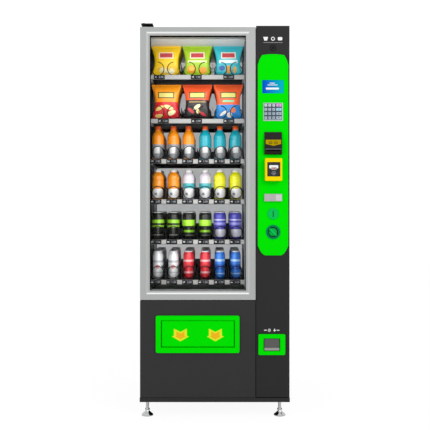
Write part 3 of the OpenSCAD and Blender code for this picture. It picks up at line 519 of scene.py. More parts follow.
class Solid:
    """Collects closed solids into one mesh; each keeps its own material."""

    def __init__(self):
        self.mesh = bmesh.new()
        self.prints = self.mesh.loops.layers.uv.new("print")

    def face(self, corners, look=0, smooth=False, prints=None):
        face = self.mesh.faces.new(corners)
        face.material_index = look
        face.smooth = smooth
        if prints:
            for loop, place in zip(face.loops, prints):
                loop[self.prints].uv = place

    def loop(self, outline, y):
        return [self.mesh.verts.new((x, y, z)) for x, z in outline]

    def bridge(self, first, second, look=0, smooth=False):
        count = len(first)
        for index in range(count):
            following = (index + 1) % count
            corners = (first[index], first[following], second[following], second[index])
            self.face(corners, look, smooth)

    def plate(self, outline, front, back, bevel=0.0, look=0):
        """A flat solid in the XZ plane between two depths, its front edge chamfered."""
        rear = self.loop(outline, back)
        if bevel:
            side = self.loop(outline, front + bevel)
            self.bridge(side, rear, look)
            face = self.loop(inset(outline, bevel), front)
            self.bridge(face, side, look)
        else:
            face = self.loop(outline, front)
            self.bridge(face, rear, look)
        self.face(face, look)
        self.face(list(reversed(rear)), look)

    def border(self, outer, inner, front, back, look=0):
        """A flat ring between two outlines that have the same number of points."""
        loops = [self.loop(outer, front), self.loop(outer, back),
                 self.loop(inner, back), self.loop(inner, front)]
        for index in range(4):
            self.bridge(loops[index], loops[(index + 1) % 4], look)

    def block(self, low, high, bevel, look=0):
        """A box with chamfered front edges, between two opposite corners."""
        outline = rounded(low[0], high[0], low[2], high[2], max(bevel, 0.2 * MM), 2)
        self.plate(outline, low[1], high[1], bevel, look)

    def tube(self, path, radius, sides=8, look=0):
        """A round bar along a path, with closed ends."""
        across = None
        rings = []
        for index, point in enumerate(path):
            ahead = path[min(index + 1, len(path) - 1)] - path[max(index - 1, 0)]
            ahead.normalize()
            if across is None:
                across = ahead.orthogonal().normalized()
            across = (across - ahead * across.dot(ahead)).normalized()
            upward = ahead.cross(across)
            ring = []
            for side in range(sides):
                angle = 2 * math.pi * side / sides
                offset = across * math.cos(angle) + upward * math.sin(angle)
                ring.append(self.mesh.verts.new(point + offset * radius))
            rings.append(ring)
        for first, second in zip(rings, rings[1:]):
            self.bridge(first, second, look, smooth=True)
        self.face(list(reversed(rings[0])), look)
        self.face(rings[-1], look)

    def lathe(self, profile, centre, looks, sides=36):
        """A turned solid. Each profile entry is (radius, height); print runs round from the front."""
        rings = []
        for radius, height in profile:
            ring = []
            for side in range(sides):
                angle = 2 * math.pi * side / sides
                offset = Vector((radius * math.sin(-angle), radius * math.cos(angle), height))
                ring.append(self.mesh.verts.new(Vector(centre) + offset))
            rings.append(ring)
        width = max(radius for radius, height in profile)
        for level, (first, second) in enumerate(zip(rings, rings[1:])):
            for side in range(sides):
                following = (side + 1) % sides
                corners = (first[side], first[following], second[following], second[side])
                turns = [side / sides - 0.5, (side + 1) / sides - 0.5]
                low, high = profile[level][1], profile[level + 1][1]
                around = [turn * 2 * math.pi * width for turn in turns]
                prints = [(around[0], low), (around[1], low), (around[1], high), (around[0], high)]
                self.face(corners, looks[level], True, prints)
        self.face(list(reversed(rings[0])), looks[0])
        self.face(rings[-1], looks[-1])

    def glyphs(self, text, x, z, height, front, thickness, look=0):
        """Plain numerals centred on x and z, cut from a sheet of the given thickness."""
        curve = bpy.data.curves.new("numerals", "FONT")
        curve.body = text
        curve.size = height * 1.4
        curve.align_x = "CENTER"
        curve.align_y = "CENTER"
        curve.extrude = thickness / 2
        curve.resolution_u = 2
        holder = bpy.data.objects.new("numerals", curve)
        flat = bpy.data.meshes.new_from_object(holder)
        upright = Matrix.Rotation(math.pi / 2, 4, "X")
        flat.transform(Matrix.Translation((x, front + thickness / 2, z)) @ upright)
        known = len(self.mesh.faces)
        self.mesh.from_mesh(flat)
        self.mesh.faces.ensure_lookup_table()
        for face in self.mesh.faces[known:]:
            face.material_index = look
        bpy.data.objects.remove(holder)
        bpy.data.curves.remove(curve)
        bpy.data.meshes.remove(flat)

    def piece(self, name, body, looks):
        """Turns what was collected into one named piece on a body."""
        bmesh.ops.recalc_face_normals(self.mesh, faces=self.mesh.faces)
        data = bpy.data.meshes.new(name)
        self.mesh.to_mesh(data)
        self.mesh.free()
        for look in looks:
            data.materials.append(MATERIALS[look])
        result = bpy.data.objects.new(name, data)
        bpy.context.scene.collection.objects.link(result)
        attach(result, body)
        return result


def levels(node, gap=50 * MM):
    """Lowest and highest point of each of a node's layers, from the bottom up."""
    heights = sorted(vertex.co.z for vertex in frame["nodes"][node].data.vertices)
    runs = [[heights[0], heights[0]]]
    for height in heights:
        if height - runs[-1][1] > gap:
            runs.append([height, height])
        runs[-1][1] = height
    return runs


# ------------------------------------------------------------------ places taken from the frame
STRIPS = levels("price_strips")
STRIP_LOW, STRIP_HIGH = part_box("price_strips")
TRAY_X = (STRIP_LOW.x + STRIP_HIGH.x) / 2
FLOOR_DROP = 3 * MM
TRAY_FLOORS = [top - FLOOR_DROP for low, top in STRIPS]
SPIRAL_FRONT = STRIP_HIGH.y + 5 * MM
LANE_X = [TRAY_X + (lane - (LANES - 1) / 2) * LANE_PITCH for lane in range(LANES)]


# ------------------------------------------------------------------ spirals
def spiral_path(tray, lane):
    """Centre line of one spiral, ending with the arm that runs in to the drive hub."""
    paired = tray in BAG_TRAYS
    side = -1 if paired and lane % 2 == 0 else 1
    start = math.pi / 2 if paired else 0.0
    centre = Vector((LANE_X[lane], SPIRAL_FRONT, TRAY_FLOORS[tray] + SPIRAL_AXIS_RISE))
    steps = SPIRAL_STEPS * SPIRAL_TURNS
    path = []
    for step in range(steps + 1):
        turn = step / SPIRAL_STEPS
        angle = start + 2 * math.pi * turn
        around = Vector((side * math.cos(angle), 0, math.sin(angle))) * SPIRAL_RADIUS
        path.append(centre + around + Vector((0, SPIRAL_PITCH * turn, 0)))
    outward = Vector((side * math.cos(start), 0, math.sin(start)))
    rear = centre + Vector((0, SPIRAL_PITCH * SPIRAL_TURNS + 3 * MM, 0))
    for reach in (SPIRAL_RADIUS - 2 * MM, SPIRAL_RADIUS / 2, 3 * MM):
        path.append(rear + outward * reach)
    return path


def spirals():
    for tray in range(len(TRAY_FLOORS)):
        coil = Solid()
        for lane in range(LANES):
            if tray == TOP_TRAY and lane < 2:
                continue
            coil.tube(spiral_path(tray, lane), WIRE_RADIUS)
        fixed = coil.piece(f"spiral_wires_tray_{tray + 1}", "cabinet", ["wire"])
        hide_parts("spirals")
    for lane, name in enumerate(("spiral_1_left", "spiral_1_right")):
        coil = Solid()
        coil.tube(spiral_path(TOP_TRAY, lane), WIRE_RADIUS)
        moving = coil.piece(name + "_wire", name, ["wire"])
        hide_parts(name)


# ------------------------------------------------------------------ price tags
TAG_W = 57 * MM
TAG_COLUMNS = {
    5: [-289 * MM, -96.5 * MM, 73 * MM],
    4: [-268 * MM, -95 * MM, 73 * MM],
}
FIRST_TAG = STRIP_LOW.x + 3 * MM + TAG_W / 2


def price_tags():
    """Clip-on black tags with a selection number and a price in plain numerals."""
    front = STRIP_LOW.y - 1.6 * MM
    for tray, (low, high) in enumerate(STRIPS):
        even = [FIRST_TAG + LANE_PITCH * lane for lane in range(LANES)]
        centres = TAG_COLUMNS.get(tray, even)
        tags = Solid()
        for column, x in enumerate(centres):
            outline = rounded(x - TAG_W / 2, x + TAG_W / 2, low + 0.5 * MM, high - 0.5 * MM, 2 * MM)
            tags.plate(outline, front, STRIP_LOW.y + 0.2 * MM, 0.5 * MM)
            z = (low + high) / 2
            number = str(10 * (6 - tray) + column + 1)
            ink_front = front - 0.25 * MM
            tags.glyphs(number, x - 18 * MM, z, 8 * MM, ink_front, 0.5 * MM, 1)
            price = f"{1 + 0.5 * ((tray + column) % 3):.2f}"
            tags.glyphs(price, x + 10 * MM, z, 10 * MM, ink_front, 0.5 * MM, 2)
        looks = ["black", "white_ink", "grey_ink"]
        tags.piece(f"price_tags_tray_{tray + 1}", "cabinet", looks)


# ------------------------------------------------------------------ control column
def key_legends():
    symbols = {"star": "*", "hash": "#"}
    for name in KEY_NAMES:
        low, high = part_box(name)
        x, z = (low.x + high.x) / 2, (low.z + high.z) / 2
        front = low.y - 0.15 * MM
        legend = Solid()
        key = name.split("_")[1]
        if key == "clear":
            for lean in (3 * MM, -3 * MM):
                start = Vector((x - 3 * MM, front, z - lean))
                legend.tube([start, Vector((x + 3 * MM, front, z + lean))], 0.6 * MM)
        elif key == "enter":
            legend.border(disc(x, z, 3.6 * MM), disc(x, z, 2.5 * MM), front, low.y + 0.3 * MM)
        elif key in ("up", "down"):
            tip = 3.2 * MM if key == "up" else -3.2 * MM
            triangle = [(x - 4 * MM, z - tip), (x + 4 * MM, z - tip), (x, z + tip)]
            legend.plate(triangle if key == "up" else triangle[::-1], front, low.y + 0.3 * MM)
        else:
            legend.glyphs(symbols.get(key, key), x, z, 8 * MM, front, 0.4 * MM)
        legend.piece("legend_" + key, name, ["legend"])


def display():
    low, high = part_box("display_module")
    x, z = (low.x + high.x) / 2, (low.z + high.z) / 2
    half_w, half_h = 53 * MM, 32.5 * MM
    glass_front = low.y - 0.6 * MM
    panel = Solid()
    outline = rounded(x - half_w, x + half_w, z - half_h, z + half_h, 2 * MM)
    panel.plate(outline, glass_front, low.y + 0.2 * MM, 0.3 * MM)
    panel.piece("display_screen", "door", ["screen"])
    marks = Solid()
    ink_front = glass_front - 0.3 * MM
    button = rounded(x - 36 * MM, x + 29 * MM, z - 14 * MM, z - 4 * MM, 4.8 * MM)
    marks.plate(button, ink_front, glass_front + 0.1 * MM)
    for left, width, height in ((-28, 50, 7), (-17, 26, 16)):
        left_x = x + left * MM
        line = rounded(left_x, left_x + width * MM, z + height * MM, z + (height + 3.5) * MM, 1.5 * MM)
        marks.plate(line, ink_front, glass_front + 0.1 * MM)
    marks.piece("display_marks", "door", ["white_ink"])


def validator_details():
    """The amber window with two plain marks, and the lip above the note slot."""
    low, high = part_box("bill_validator")
    x = (low.x + high.x) / 2
    nose = low.y
    base = 1295 * MM
    profile = [(-38, 50), (-13, 44), (0, 41), (13, 44), (38, 50), (38, 71), (-38, 71)]
    window = Solid()
    outline = [(x + px * MM, base + pz * MM) for px, pz in profile]
    window.plate(outline, nose - 1.2 * MM, nose + 0.5 * MM, 0.8 * MM)
    window.plate(
        rounded(x - 40 * MM, x + 40 * MM, base + 23 * MM, base + 27 * MM, 1.5 * MM),
        nose - 0.8 * MM, nose + 0.4 * MM, 0.4 * MM, 1,
    )
    window.piece("note_guide_window", "door", ["amber", "slot_lip"])
    marks = Solid()
    for left in (-22, 4):
        shape = rounded(x + left * MM, x + (left + 16) * MM, base + 50 * MM, base + 62 * MM, 4 * MM)
        hole = rounded(x + (left + 3) * MM, x + (left + 13) * MM, base + 53 * MM, base + 59 * MM, 2.5 * MM)
        marks.border(shape, hole, nose - 1.6 * MM, nose - 1.0 * MM)
    marks.piece("note_guide_marks", "door", ["amber_dark"])


def reader_screen():
    low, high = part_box("card_reader")
    x, z = (low.x + high.x) / 2, (low.z + high.z) / 2 + 1 * MM
    front = low.y + 1.2 * MM
    glass = Solid()
    outline = rounded(x - 31.5 * MM, x + 31.5 * MM, z - 35 * MM, z + 35 * MM, 3 * MM)
    glass.plate(outline, front, low.y + 2.4 * MM, 0.4 * MM)
    glass.piece("reader_screen", "door", ["reader_glass"])
    marks = Solid()
    ink = front - 0.3 * MM
    base = front + 0.1 * MM
    marks.plate(rounded(x - 22 * MM, x + 22 * MM, z + 4 * MM, z + 20 * MM, 4 * MM), ink, base, 0, 0)
    emblem = rounded(x - 12 * MM, x + 14 * MM, z - 3 * MM, z + 10 * MM, 3 * MM)
    marks.plate(emblem, ink - 0.2 * MM, base, 0, 1)
    marks.plate(disc(x + 2 * MM, z + 4 * MM, 4.5 * MM, 20), ink - 0.4 * MM, base, 0, 2)
    for level, width in ((-14, 18), (-21, 24), (-28, 12)):
        line = rounded(x - width / 2 * MM, x + width / 2 * MM, z + level * MM, z + (level + 2.5) * MM, 1 * MM)
        marks.plate(line, ink, base, 0, 1)
    marks.piece("reader_marks", "door", ["white_ink", "grey_ink", "orange_ink"])


def column_marks():
    """Camera lens, a plain pictogram row and the coin pictogram above the coin cup."""
    low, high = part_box("column_fascia")
    boss = Vector((288 * MM, low.y, 1822 * MM))
    lens = Solid()
    ring_front = boss.y - 0.8 * MM
    outer, inner = disc(boss.x, boss.z, 15.2 * MM), disc(boss.x, boss.z, 11.5 * MM)
    lens.border(outer, inner, ring_front, boss.y + 0.3 * MM)
    lens.plate(disc(boss.x, boss.z, 6.5 * MM), boss.y - 1.2 * MM, boss.y + 0.3 * MM, 0.7 * MM)
    lens.piece("camera_lens", "door", ["lens"])
    face = low.y + 2 * MM
    ink, base = face - 0.4 * MM, face + 0.2 * MM
    x, z = boss.x, 1868 * MM
    row = Solid()
    cup = [(x + px * MM, z + pz * MM) for px, pz in ((-48, 9), (-43, -9), (-29, -9), (-24, 9))]
    row.plate(cup, ink, base)
    row.border(disc(x, z, 9.5 * MM), disc(x, z, 6 * MM), ink, base)
    row.plate(rounded(x + 24 * MM, x + 46 * MM, z - 8 * MM, z + 8 * MM, 4 * MM), ink, base)
    row.plate(rounded(x - 48 * MM, x + 48 * MM, z - 20 * MM, z - 18 * MM, 0.9 * MM), ink, base, 0, 1)
    row.piece("column_pictograms", "door", ["white_ink", "grey_ink"])
    cup_low, cup_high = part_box("coin_cup_frame")
    x, z = (cup_low.x + cup_high.x) / 2, cup_high.z + 19 * MM
    coins = Solid()
    coins.border(disc(x - 12 * MM, z, 7 * MM), disc(x - 12 * MM, z, 5 * MM), ink, base)
    coins.plate(rounded(x - 13 * MM, x - 11 * MM, z - 3 * MM, z + 3 * MM, 0.8 * MM), ink, base)
    arrow = [(x + 14 * MM, z - 7 * MM), (x + 21 * MM, z), (x + 16.5 * MM, z), (x + 16.5 * MM, z + 7 * MM),
             (x + 11.5 * MM, z + 7 * MM), (x + 11.5 * MM, z), (x + 7 * MM, z)]
    coins.plate(arrow, ink, base)
    for left in (-38, 24):
        bar = rounded(x + left * MM, x + (left + 14) * MM, z - 2 * MM, z + 2 * MM, 1.5 * MM)
        coins.plate(bar, ink, base)
    coins.piece("coin_pictogram", "door", ["white_ink"])


def button_inset():
    low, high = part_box("coin_return_button")
    inlay = Solid()
    outline = rounded(high.x - 31 * MM, high.x - 3 * MM, low.z + 3 * MM, high.z - 3 * MM, 2 * MM)
    inlay.plate(outline, low.y - 0.5 * MM, low.y + 0.3 * MM, 0.3 * MM)
    inlay.piece("coin_return_inset", "coin_return_button", ["button_light"])


def lock_dial():
    """The knurled face that turns with the lock's handle bar."""
    low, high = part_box("lock_handle")
    x, z = (low.x + high.x) / 2, (low.z + high.z) / 2
    dial = Solid()
    steps = 96
    rim = []
    for step in range(steps):
        angle = 2 * math.pi * step / steps
        radius = (20.5 - 0.7 * (step // 2 % 2)) * MM
        rim.append((x + radius * math.cos(angle), z + radius * math.sin(angle)))
    dial.plate(rim, low.y + 9 * MM, low.y + 16 * MM, 0.8 * MM)
    dial.piece("lock_dial", "lock_handle", ["teal"])


# ------------------------------------------------------------------ pickup hatch
ARROW = [(0, -31), (42, -7), (32.5, -3), (32, 32), (0, 16), (-32, 32), (-32.5, -3), (-42, -7)]
ARROW_HALF_GAP = 86.5 * MM


def pickup_arrows():
    low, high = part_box("pickup_flap")
    x, z = (low.x + high.x) / 2, (low.z + high.z) / 2 - 7 * MM
    arrows = Solid()
    for side in (-1, 1):
        centre = x + side * ARROW_HALF_GAP
        outline = [(centre + px * MM, z + pz * MM) for px, pz in ARROW]
        arrows.plate(outline, low.y - 1.2 * MM, low.y + 0.3 * MM, 0.5 * MM)
        core = [(centre + px * 0.62 * MM, z - 1.5 * MM + pz * 0.6 * MM) for px, pz in ARROW]
        arrows.plate(core, low.y - 1.9 * MM, low.y - 1.0 * MM, 0.5 * MM, 1)
    arrows.piece("pickup_arrows", "pickup_flap", ["arrow_edge", "arrow_core"])


# ------------------------------------------------------------------ window border and interior painted shadow
def window_border():
    """The black band printed round the rear of the front pane."""
    low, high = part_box("window_glass")
    left, right, bottom, top = OPENING
    rear = low.y + 4 * MM
    outer = rounded(low.x + 1 * MM, high.x - 1 * MM, low.z + 1 * MM, high.z - 1 * MM, 1 * MM)
    inner = rounded(left + 4 * MM, right - 2 * MM, bottom + 1.5 * MM, top - 5 * MM, 1 * MM)
    band = Solid()
    band.border(outer, inner, rear + 0.05 * MM, rear + 0.5 * MM)
    band.piece("window_border", "door", ["black"])


def wall_shadow_sheets():
    """Thin dark sheets on the compartment's left wall, put where there is only shade: painted shadow; the
    upper one reaches the rear duct.
    """
    low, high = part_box("tray_rails")
    shadow_sheet = Solid()
    for rear, bottom, top in ((130 * MM, low.z, 1480 * MM), (320 * MM, 1482 * MM, high.z - 4 * MM)):
        shadow_sheet.block((low.x + 0.1 * MM, -268 * MM, bottom), (low.x + 0.9 * MM, rear, top), 0.3 * MM)
    shadow_sheet.piece("left_wall_shadow_sheets", "cabinet", ["shadow_sheet"])


# ------------------------------------------------------------------ stock, printed with plain shapes
# Each layer is (shape, colour, centre across, centre height, half width, half height, lean, tilt) in mm.
CHIPS = [
    ("ellipse", "#e9b23c", -30, 46, 15, 10, 0, 0), ("ellipse", "#f8e9a4", -16, 38, 20, 15, 0, 0),
    ("ellipse", "#fbf2c4", 22, 34, 22, 15, 0, 0), ("ellipse", "#f1cf66", 12, 44, 10, 8, 0, 0),
]
LABEL = [("slab", "#fff1dc", 0, 116, 38, 17, 0, 0), ("slab", "#c8434a", 0, 116, 33, 12, 0, 0)]
PANEL = [("slab", "#3a3720", 0, 134, 42, 17, 0, 0), ("slab", "#d9d06a", 0, 134, 37, 12, 0, 0)]
DESIGNS = {
    "yellow_bag": ("#ffd200", [("slab", "#e2b400", 0, 6, 90, 9, 0, 0), *LABEL, *CHIPS]),
    "lime_bag": ("#a9d21c", [
        *LABEL, ("slab", "#eef3b8", 0, 84, 50, 5, 0, 0), ("ellipse", "#f2991c", -30, 44, 24, 20, 0, 0),
        ("ellipse", "#f8c53a", -30, 47, 15, 12, 0, 0), ("ellipse", "#f5a326", 30, 38, 21, 18, 0, 0),
    ]),
    "cyan_bag": ("#33bfcd", [
        *LABEL, ("slab", "#f0fbfb", 0, 84, 48, 8, 0, 0), ("ellipse", "#1f62b2", -34, 50, 16, 13, 0, 0),
        ("ellipse", "#e3ab52", 0, 42, 14, 22, 0, 0), ("ellipse", "#e6b562", 34, 42, 10, 18, 0, 0),
        ("slab", "#148c96", 0, 8, 90, 12, 0, 0),
    ]),
    "orange_red_bag": ("#ff9a12", [
        *PANEL, ("slab", "#d61c26", 0, 46, 90, 52, 0, 0), ("ellipse", "#f3d97c", -34, 66, 22, 10, 0, 0.4),
        ("ellipse", "#f6e49a", 14, 70, 24, 11, 0, -0.3), ("ellipse", "#f8ecb4", 28, 42, 22, 13, 0, 0.3),
        ("ellipse", "#f0d070", -36, 26, 22, 10, 0, 0), ("slab", "#8f0d18", 0, 5, 90, 9, 0, 0),
    ]),
    "red_black_bag": ("#ee5626", [
        ("slab", "#1b1516", 0, 52, 90, 56, 0, 0), *PANEL, ("slab", "#a88a4a", 0, 98, 44, 2.5, 0, 0),
        ("ellipse", "#efe2b0", -2, 72, 18, 11, 0, 0.5), ("ellipse", "#c8242e", -34, 54, 17, 10, 0, -0.6),
        ("ellipse", "#e8d690", 4, 50, 10, 12, 0, 0), ("ellipse", "#bf2430", 30, 36, 16, 9, 0, -0.5),
    ]),
    "orange_blue_bag": ("#f15f2b", [
        ("slab", "#1f84cf", 0, 36, 90, 48, 0, 0), *PANEL, ("slab", "#7fd4a0", 0, 102, 30, 5, 0, 0),
        ("ellipse", "#e87a40", 24, 56, 14, 14, 0, 0), ("ellipse", "#f2efe2", -26, 40, 20, 9, 0, 0.6),
        ("ellipse", "#f6f2e6", 6, 30, 14, 14, 0, 0),
    ]),
    "orange_bottle": ("#ff9710", [
        ("slab", "#9a9da0", 0, 50, 200, 38, 0, 0), ("slab", "#f4f4f2", -3, 56, 16, 18, 0, 0),
        ("slab", "#4a4c4e", 0, 4, 200, 4, 0, 0),
    ]),
    "teal_bottle": ("#14aebf", [
        ("slab", "#a3a7aa", 0, 40, 200, 28, 0, 0), ("slab", "#f4f4f2", 0, 58, 15, 16, 0, 0),
        ("slab", "#56585a", 0, 4, 200, 4, 0, 0),
    ]),
    "orange_short": ("#ff9a1a", [
        ("slab", "#ffffff", 0, 36, 34, 24, 0, 0), ("slab", "#9aa0a8", -10, 32, 7, 7, 0, 0),
        ("slab", "#c98a3a", 0, 6, 200, 5, 0, 0),
    ]),
    "lilac_short": ("#e3dce5", [
        ("slab", "#41b3bb", 0, 76, 200, 14, 0, 0), ("slab", "#ffffff", 0, 36, 34, 24, 0, 0),
        ("slab", "#8e959c", -10, 32, 7, 7, 0, 0), ("slab", "#b4b2ba", 0, 6, 200, 5, 0, 0),
    ]),
    "yellow_short": ("#f3f21c", [
        ("slab", "#ffffff", 0, 36, 34, 24, 0, 0), ("slab", "#9aa0a8", -10, 32, 7, 7, 0, 0),
        ("slab", "#b5b62c", 0, 6, 200, 5, 0, 0),
    ]),
    "black_lime_can": ("#15190f", [
        ("slab", "#9ada2a", 0, 96, 200, 9, 0, 0), ("slab", "#9ada2a", 0, 70, 200, 5, 0, 0),
        ("slab", "#8f948c", 0, 24, 200, 3, 0, 0),
    ]),
    "lime_band_can": ("#12170f", [
        ("slab", "#a8ee2c", 0, 88, 200, 16, 0, 0), ("slab", "#9be030", 0, 44, 200, 6, 0, 0),
        ("slab", "#84887f", 0, 22, 200, 2, 0, 0),
    ]),
    "indigo_can": ("#4a48b2", [
        ("slab", "#dcdcea", 0, 34, 200, 20, 0, 0), ("slab", "#8f8ed6", 0, 84, 200, 6, 0, 0),
        ("slab", "#c9c9e6", 0, 104, 200, 3, 0, 0),
    ]),
    "white_can": ("#eceeef", [
        ("slab", "#b9bec4", 0, 92, 200, 6, 0, 0), ("ellipse", "#d98a90", 0, 64, 11, 11, 0, 0),
        ("slab", "#c4c8cc", 0, 34, 200, 3, 0, 0),
    ]),
    "red_can": ("#e2303c", [
        ("slab", "#f6b8ba", 0, 96, 200, 5, 0, 0), ("slab", "#f6b8ba", 0, 34, 200, 5, 0, 0),
        ("ellipse", "#b81420", 0, 66, 11, 11, 0, 0),
    ]),
    "blue_can": ("#2c7bdc", [
        ("slab", "#a8ccf4", 0, 98, 200, 6, 0, 0), ("slab", "#1450ae", 0, 62, 200, 14, 0, 0),
        ("slab", "#a8ccf4", 0, 28, 200, 3, 0, 0),
    ]),
}


def shape_distance(shape, u, v, half_w, half_h):
    """Signed distance, roughly, from a point to the edge of a plain shape at the origin."""
    if shape == "ellipse":
        across, up = u / half_w, v / half_h
        return ((across * across + up * up).apply("SQRT") - 1) * min(half_w, half_h)
    return (abs(u) - half_w).larger(abs(v) - half_h)


def printed(name, roughness=0.28, gloss=0.4, coat=0.2, metallic=0.0, relief=0.02 * MM):
    """A material that carries one of the designs, laid out over its piece's print coordinates."""
    base, layers = DESIGNS[name]
    surface = Surface(name + "_print", base, roughness, metallic=metallic, gloss=gloss, coat=coat)
    across, up, unused = surface.split(surface.print_place)
    for shape, colour, x, z, half_w, half_h, lean, tilt in layers:
        shift_u = across - x * MM
        shift_v = up - z * MM
        u = shift_u - shift_v * lean if lean else shift_u
        v = shift_v - shift_u * tilt if tilt else shift_v
        surface.lay(shape_distance(shape, u, v, half_w * MM, half_h * MM).inside(0.8 * MM), colour)
    return surface.finish(mottle=0.05, grain=220, depth=relief, spread=0.1)


for design_name in DESIGNS:
    if design_name.endswith("_bag"):
        MATERIALS[design_name] = printed(design_name, 0.33, 0.5, 0.1, relief=0.5 * MM)
    elif design_name.endswith("_can"):
        MATERIALS[design_name] = printed(design_name, 0.3, 0.5, 0.25, metallic=0.15)
    else:
        MATERIALS[design_name] = printed(design_name, 0.2, 0.5, 0.4)
MATERIALS["cap_orange"] = moulded("cap_orange", "#f2601a", 0.35, 0.4)
MATERIALS["cap_white"] = moulded("cap_white", "#eeeeec", 0.35, 0.4)
MATERIALS["tin"] = brushed("can_aluminium", "#eef0f1", 0.45, 0.08, (30, 1, 1))

# Profiles are (radius, height) in mm, from the foot up; the number is where the cap or lid begins.
TALL_BOTTLE = ([(26, 0), (31, 2), (33, 8), (33, 108), (32.6, 116), (31.2, 118.5), (32.6, 121), (33, 124),
                (31.5, 133), (28.5, 142), (24, 151), (18, 159), (15, 163), (15, 165), (15.3, 165.5),
                (15.5, 167), (15.5, 185), (14.5, 186.5)], 14)
SHORT_BOTTLE = ([(27, 0), (31, 1.5), (32.5, 7), (32.5, 61), (32, 63), (32.5, 65), (32.5, 101), (31, 104),
                 (31, 106), (32.5, 109), (32.5, 121), (30, 131), (26, 139), (20, 147), (17.5, 149.5),
                 (18.3, 150), (18.5, 151), (18.5, 161), (17.5, 162.5)], 15)
WIDE_CAN = ([(25, 2), (27, 0), (28.5, 1), (31.5, 5), (33.5, 11), (33.5, 128), (32.5, 133), (29, 140),
             (28.5, 142), (28.8, 144), (28, 145), (27, 144.5), (26.5, 142), (8, 142)], 8)
SLIM_CAN = ([(20, 2), (22, 0), (23.5, 1), (26, 6), (28, 12), (28, 120), (27, 129), (24, 138), (22.6, 142),
             (22.4, 144), (22.8, 146), (22, 147), (21.2, 146), (21, 144), (7, 144)], 8)
RANGES = {
    3: (TALL_BOTTLE, ["orange_bottle"] * 3 + ["teal_bottle"] * 3, "cap_orange", 4),
    2: (SHORT_BOTTLE, ["orange_short"] * 2 + ["lilac_short"] * 2 + ["yellow_short"] * 2, "cap_white", 4),
    1: (WIDE_CAN, ["black_lime_can"] * 2 + ["lime_band_can"] * 2 + ["indigo_can"] * 2, "tin", 5),
    0: (SLIM_CAN, ["white_can"] * 2 + ["red_can"] * 2 + ["blue_can"] * 2, "tin", 5),
}
# How far each lane's row was set down beside the middle of its lane
LANE_OFFSETS = [-7 * MM, -6 * MM, -7 * MM, 0, -4 * MM, -2 * MM]


def standing_stock():
    """Bottles and cans, one piece a lane, each standing one spiral turn behind the other."""
    for tray, ((profile, cap_start), designs, cap, depth) in RANGES.items():
        widest = max(radius for radius, height in profile) * MM
        first = SPIRAL_FRONT + SPIRAL_PITCH + widest + 2 * MM
        looks = [0] * cap_start + [1] * (len(profile) - cap_start)
        turned = [(radius * MM, height * MM) for radius, height in profile]
        for lane, design in enumerate(designs):
            row = Solid()
            for place in range(depth):
                x = LANE_X[lane] + LANE_OFFSETS[lane]
                y = first + SPIRAL_PITCH * place
                row.lathe(turned, (x, y, TRAY_FLOORS[tray] + 0.2 * MM), looks)
                if cap == "tin":
                    z = TRAY_FLOORS[tray] + (profile[-1][1] + 0.4) * MM
                    low = (x - 6 * MM, y - 11 * MM, z)
                    row.block(low, (x + 6 * MM, y + 4 * MM, z + 1.2 * MM), 0.5 * MM, 1)
            row.piece(f"stock_tray_{tray + 1}_lane_{lane + 1}", "cabinet", [design, cap])


BAG_COLUMNS = 34
BAG_ROWS = 32
SEAL = 11 * MM
CRIMP = 0.45 * MM
BAG_PRESSURE = 3000
WAIST = 0.11
BAG_FRAMES = 20


def flat_bag(name, width, height):
    """An almost flat tube of film, crimped and cut in a zigzag at both ends."""
    around = 2 * BAG_COLUMNS
    points, prints, seal = [], [], []
    for row in range(BAG_ROWS + 1):
        z = height * row / BAG_ROWS
        sealed = z <= SEAL or z >= height - SEAL
        for step in range(around):
            share = step / BAG_COLUMNS if step < BAG_COLUMNS else (around - step) / BAG_COLUMNS
            side = -1 if step < BAG_COLUMNS else 1
            waist = 1 - WAIST * math.sin(math.pi * row / BAG_ROWS) ** 0.8
            x = (share - 0.5) * width * waist
            ridge = CRIMP if round(share * BAG_COLUMNS) % 2 else -CRIMP
            y = ridge + side * 0.2 * MM if sealed else side * 6 * MM * math.sin(math.pi * share)
            tooth = 0.8 * MM if row in (0, BAG_ROWS) and ridge > 0 else 0
            points.append((x, y, z + (tooth if row == 0 else -tooth)))
            prints.append((x, z))
            if sealed:
                seal.append(len(points) - 1)
    faces = []
    for row in range(BAG_ROWS):
        for step in range(around):
            first, second = row * around + step, row * around + (step + 1) % around
            faces.append((first, second, second + around, first + around))
    for base in (0, BAG_ROWS * around):
        for step in range(BAG_COLUMNS):
            front = [base + step, base + step + 1]
            corners = [*front, base + around - step - 1, base + (around - step) % around]
            faces.append(tuple(dict.fromkeys(corners)))
    mesh = bpy.data.meshes.new(name)
    mesh.from_pydata(points, [], faces)
    layer = mesh.uv_layers.new(name="print")
    for loop in mesh.loops:
        layer.data[loop.index].uv = prints[loop.vertex_index]
    return mesh, seal


def inflate(mesh, seal):
    """Blows the tube up with cloth pressure while its seals stay flat."""
    holder = bpy.data.objects.new("inflating", mesh)
    bpy.context.scene.collection.objects.link(holder)
    holder.vertex_groups.new(name="seal").add(seal, 1.0, "ADD")
    cloth = holder.modifiers.new("inflate", "CLOTH")
    cloth.settings.use_pressure = True
    cloth.settings.uniform_pressure_force = BAG_PRESSURE
    cloth.settings.mass = 0.02
    cloth.settings.quality = 7
    cloth.settings.tension_stiffness = 40
    cloth.settings.compression_stiffness = 40
    cloth.settings.bending_stiffness = 0.3
    cloth.settings.effector_weights.gravity = 0
    cloth.settings.vertex_group_mass = "seal"
    cloth.point_cache.frame_start = 1
    cloth.point_cache.frame_end = BAG_FRAMES
    for step in range(1, BAG_FRAMES + 1):
        bpy.context.scene.frame_set(step)
    result = bpy.data.meshes.new_from_object(holder.evaluated_get(bpy.context.evaluated_depsgraph_get()))
    bpy.data.objects.remove(holder)
    bpy.context.scene.frame_set(1)
    return result


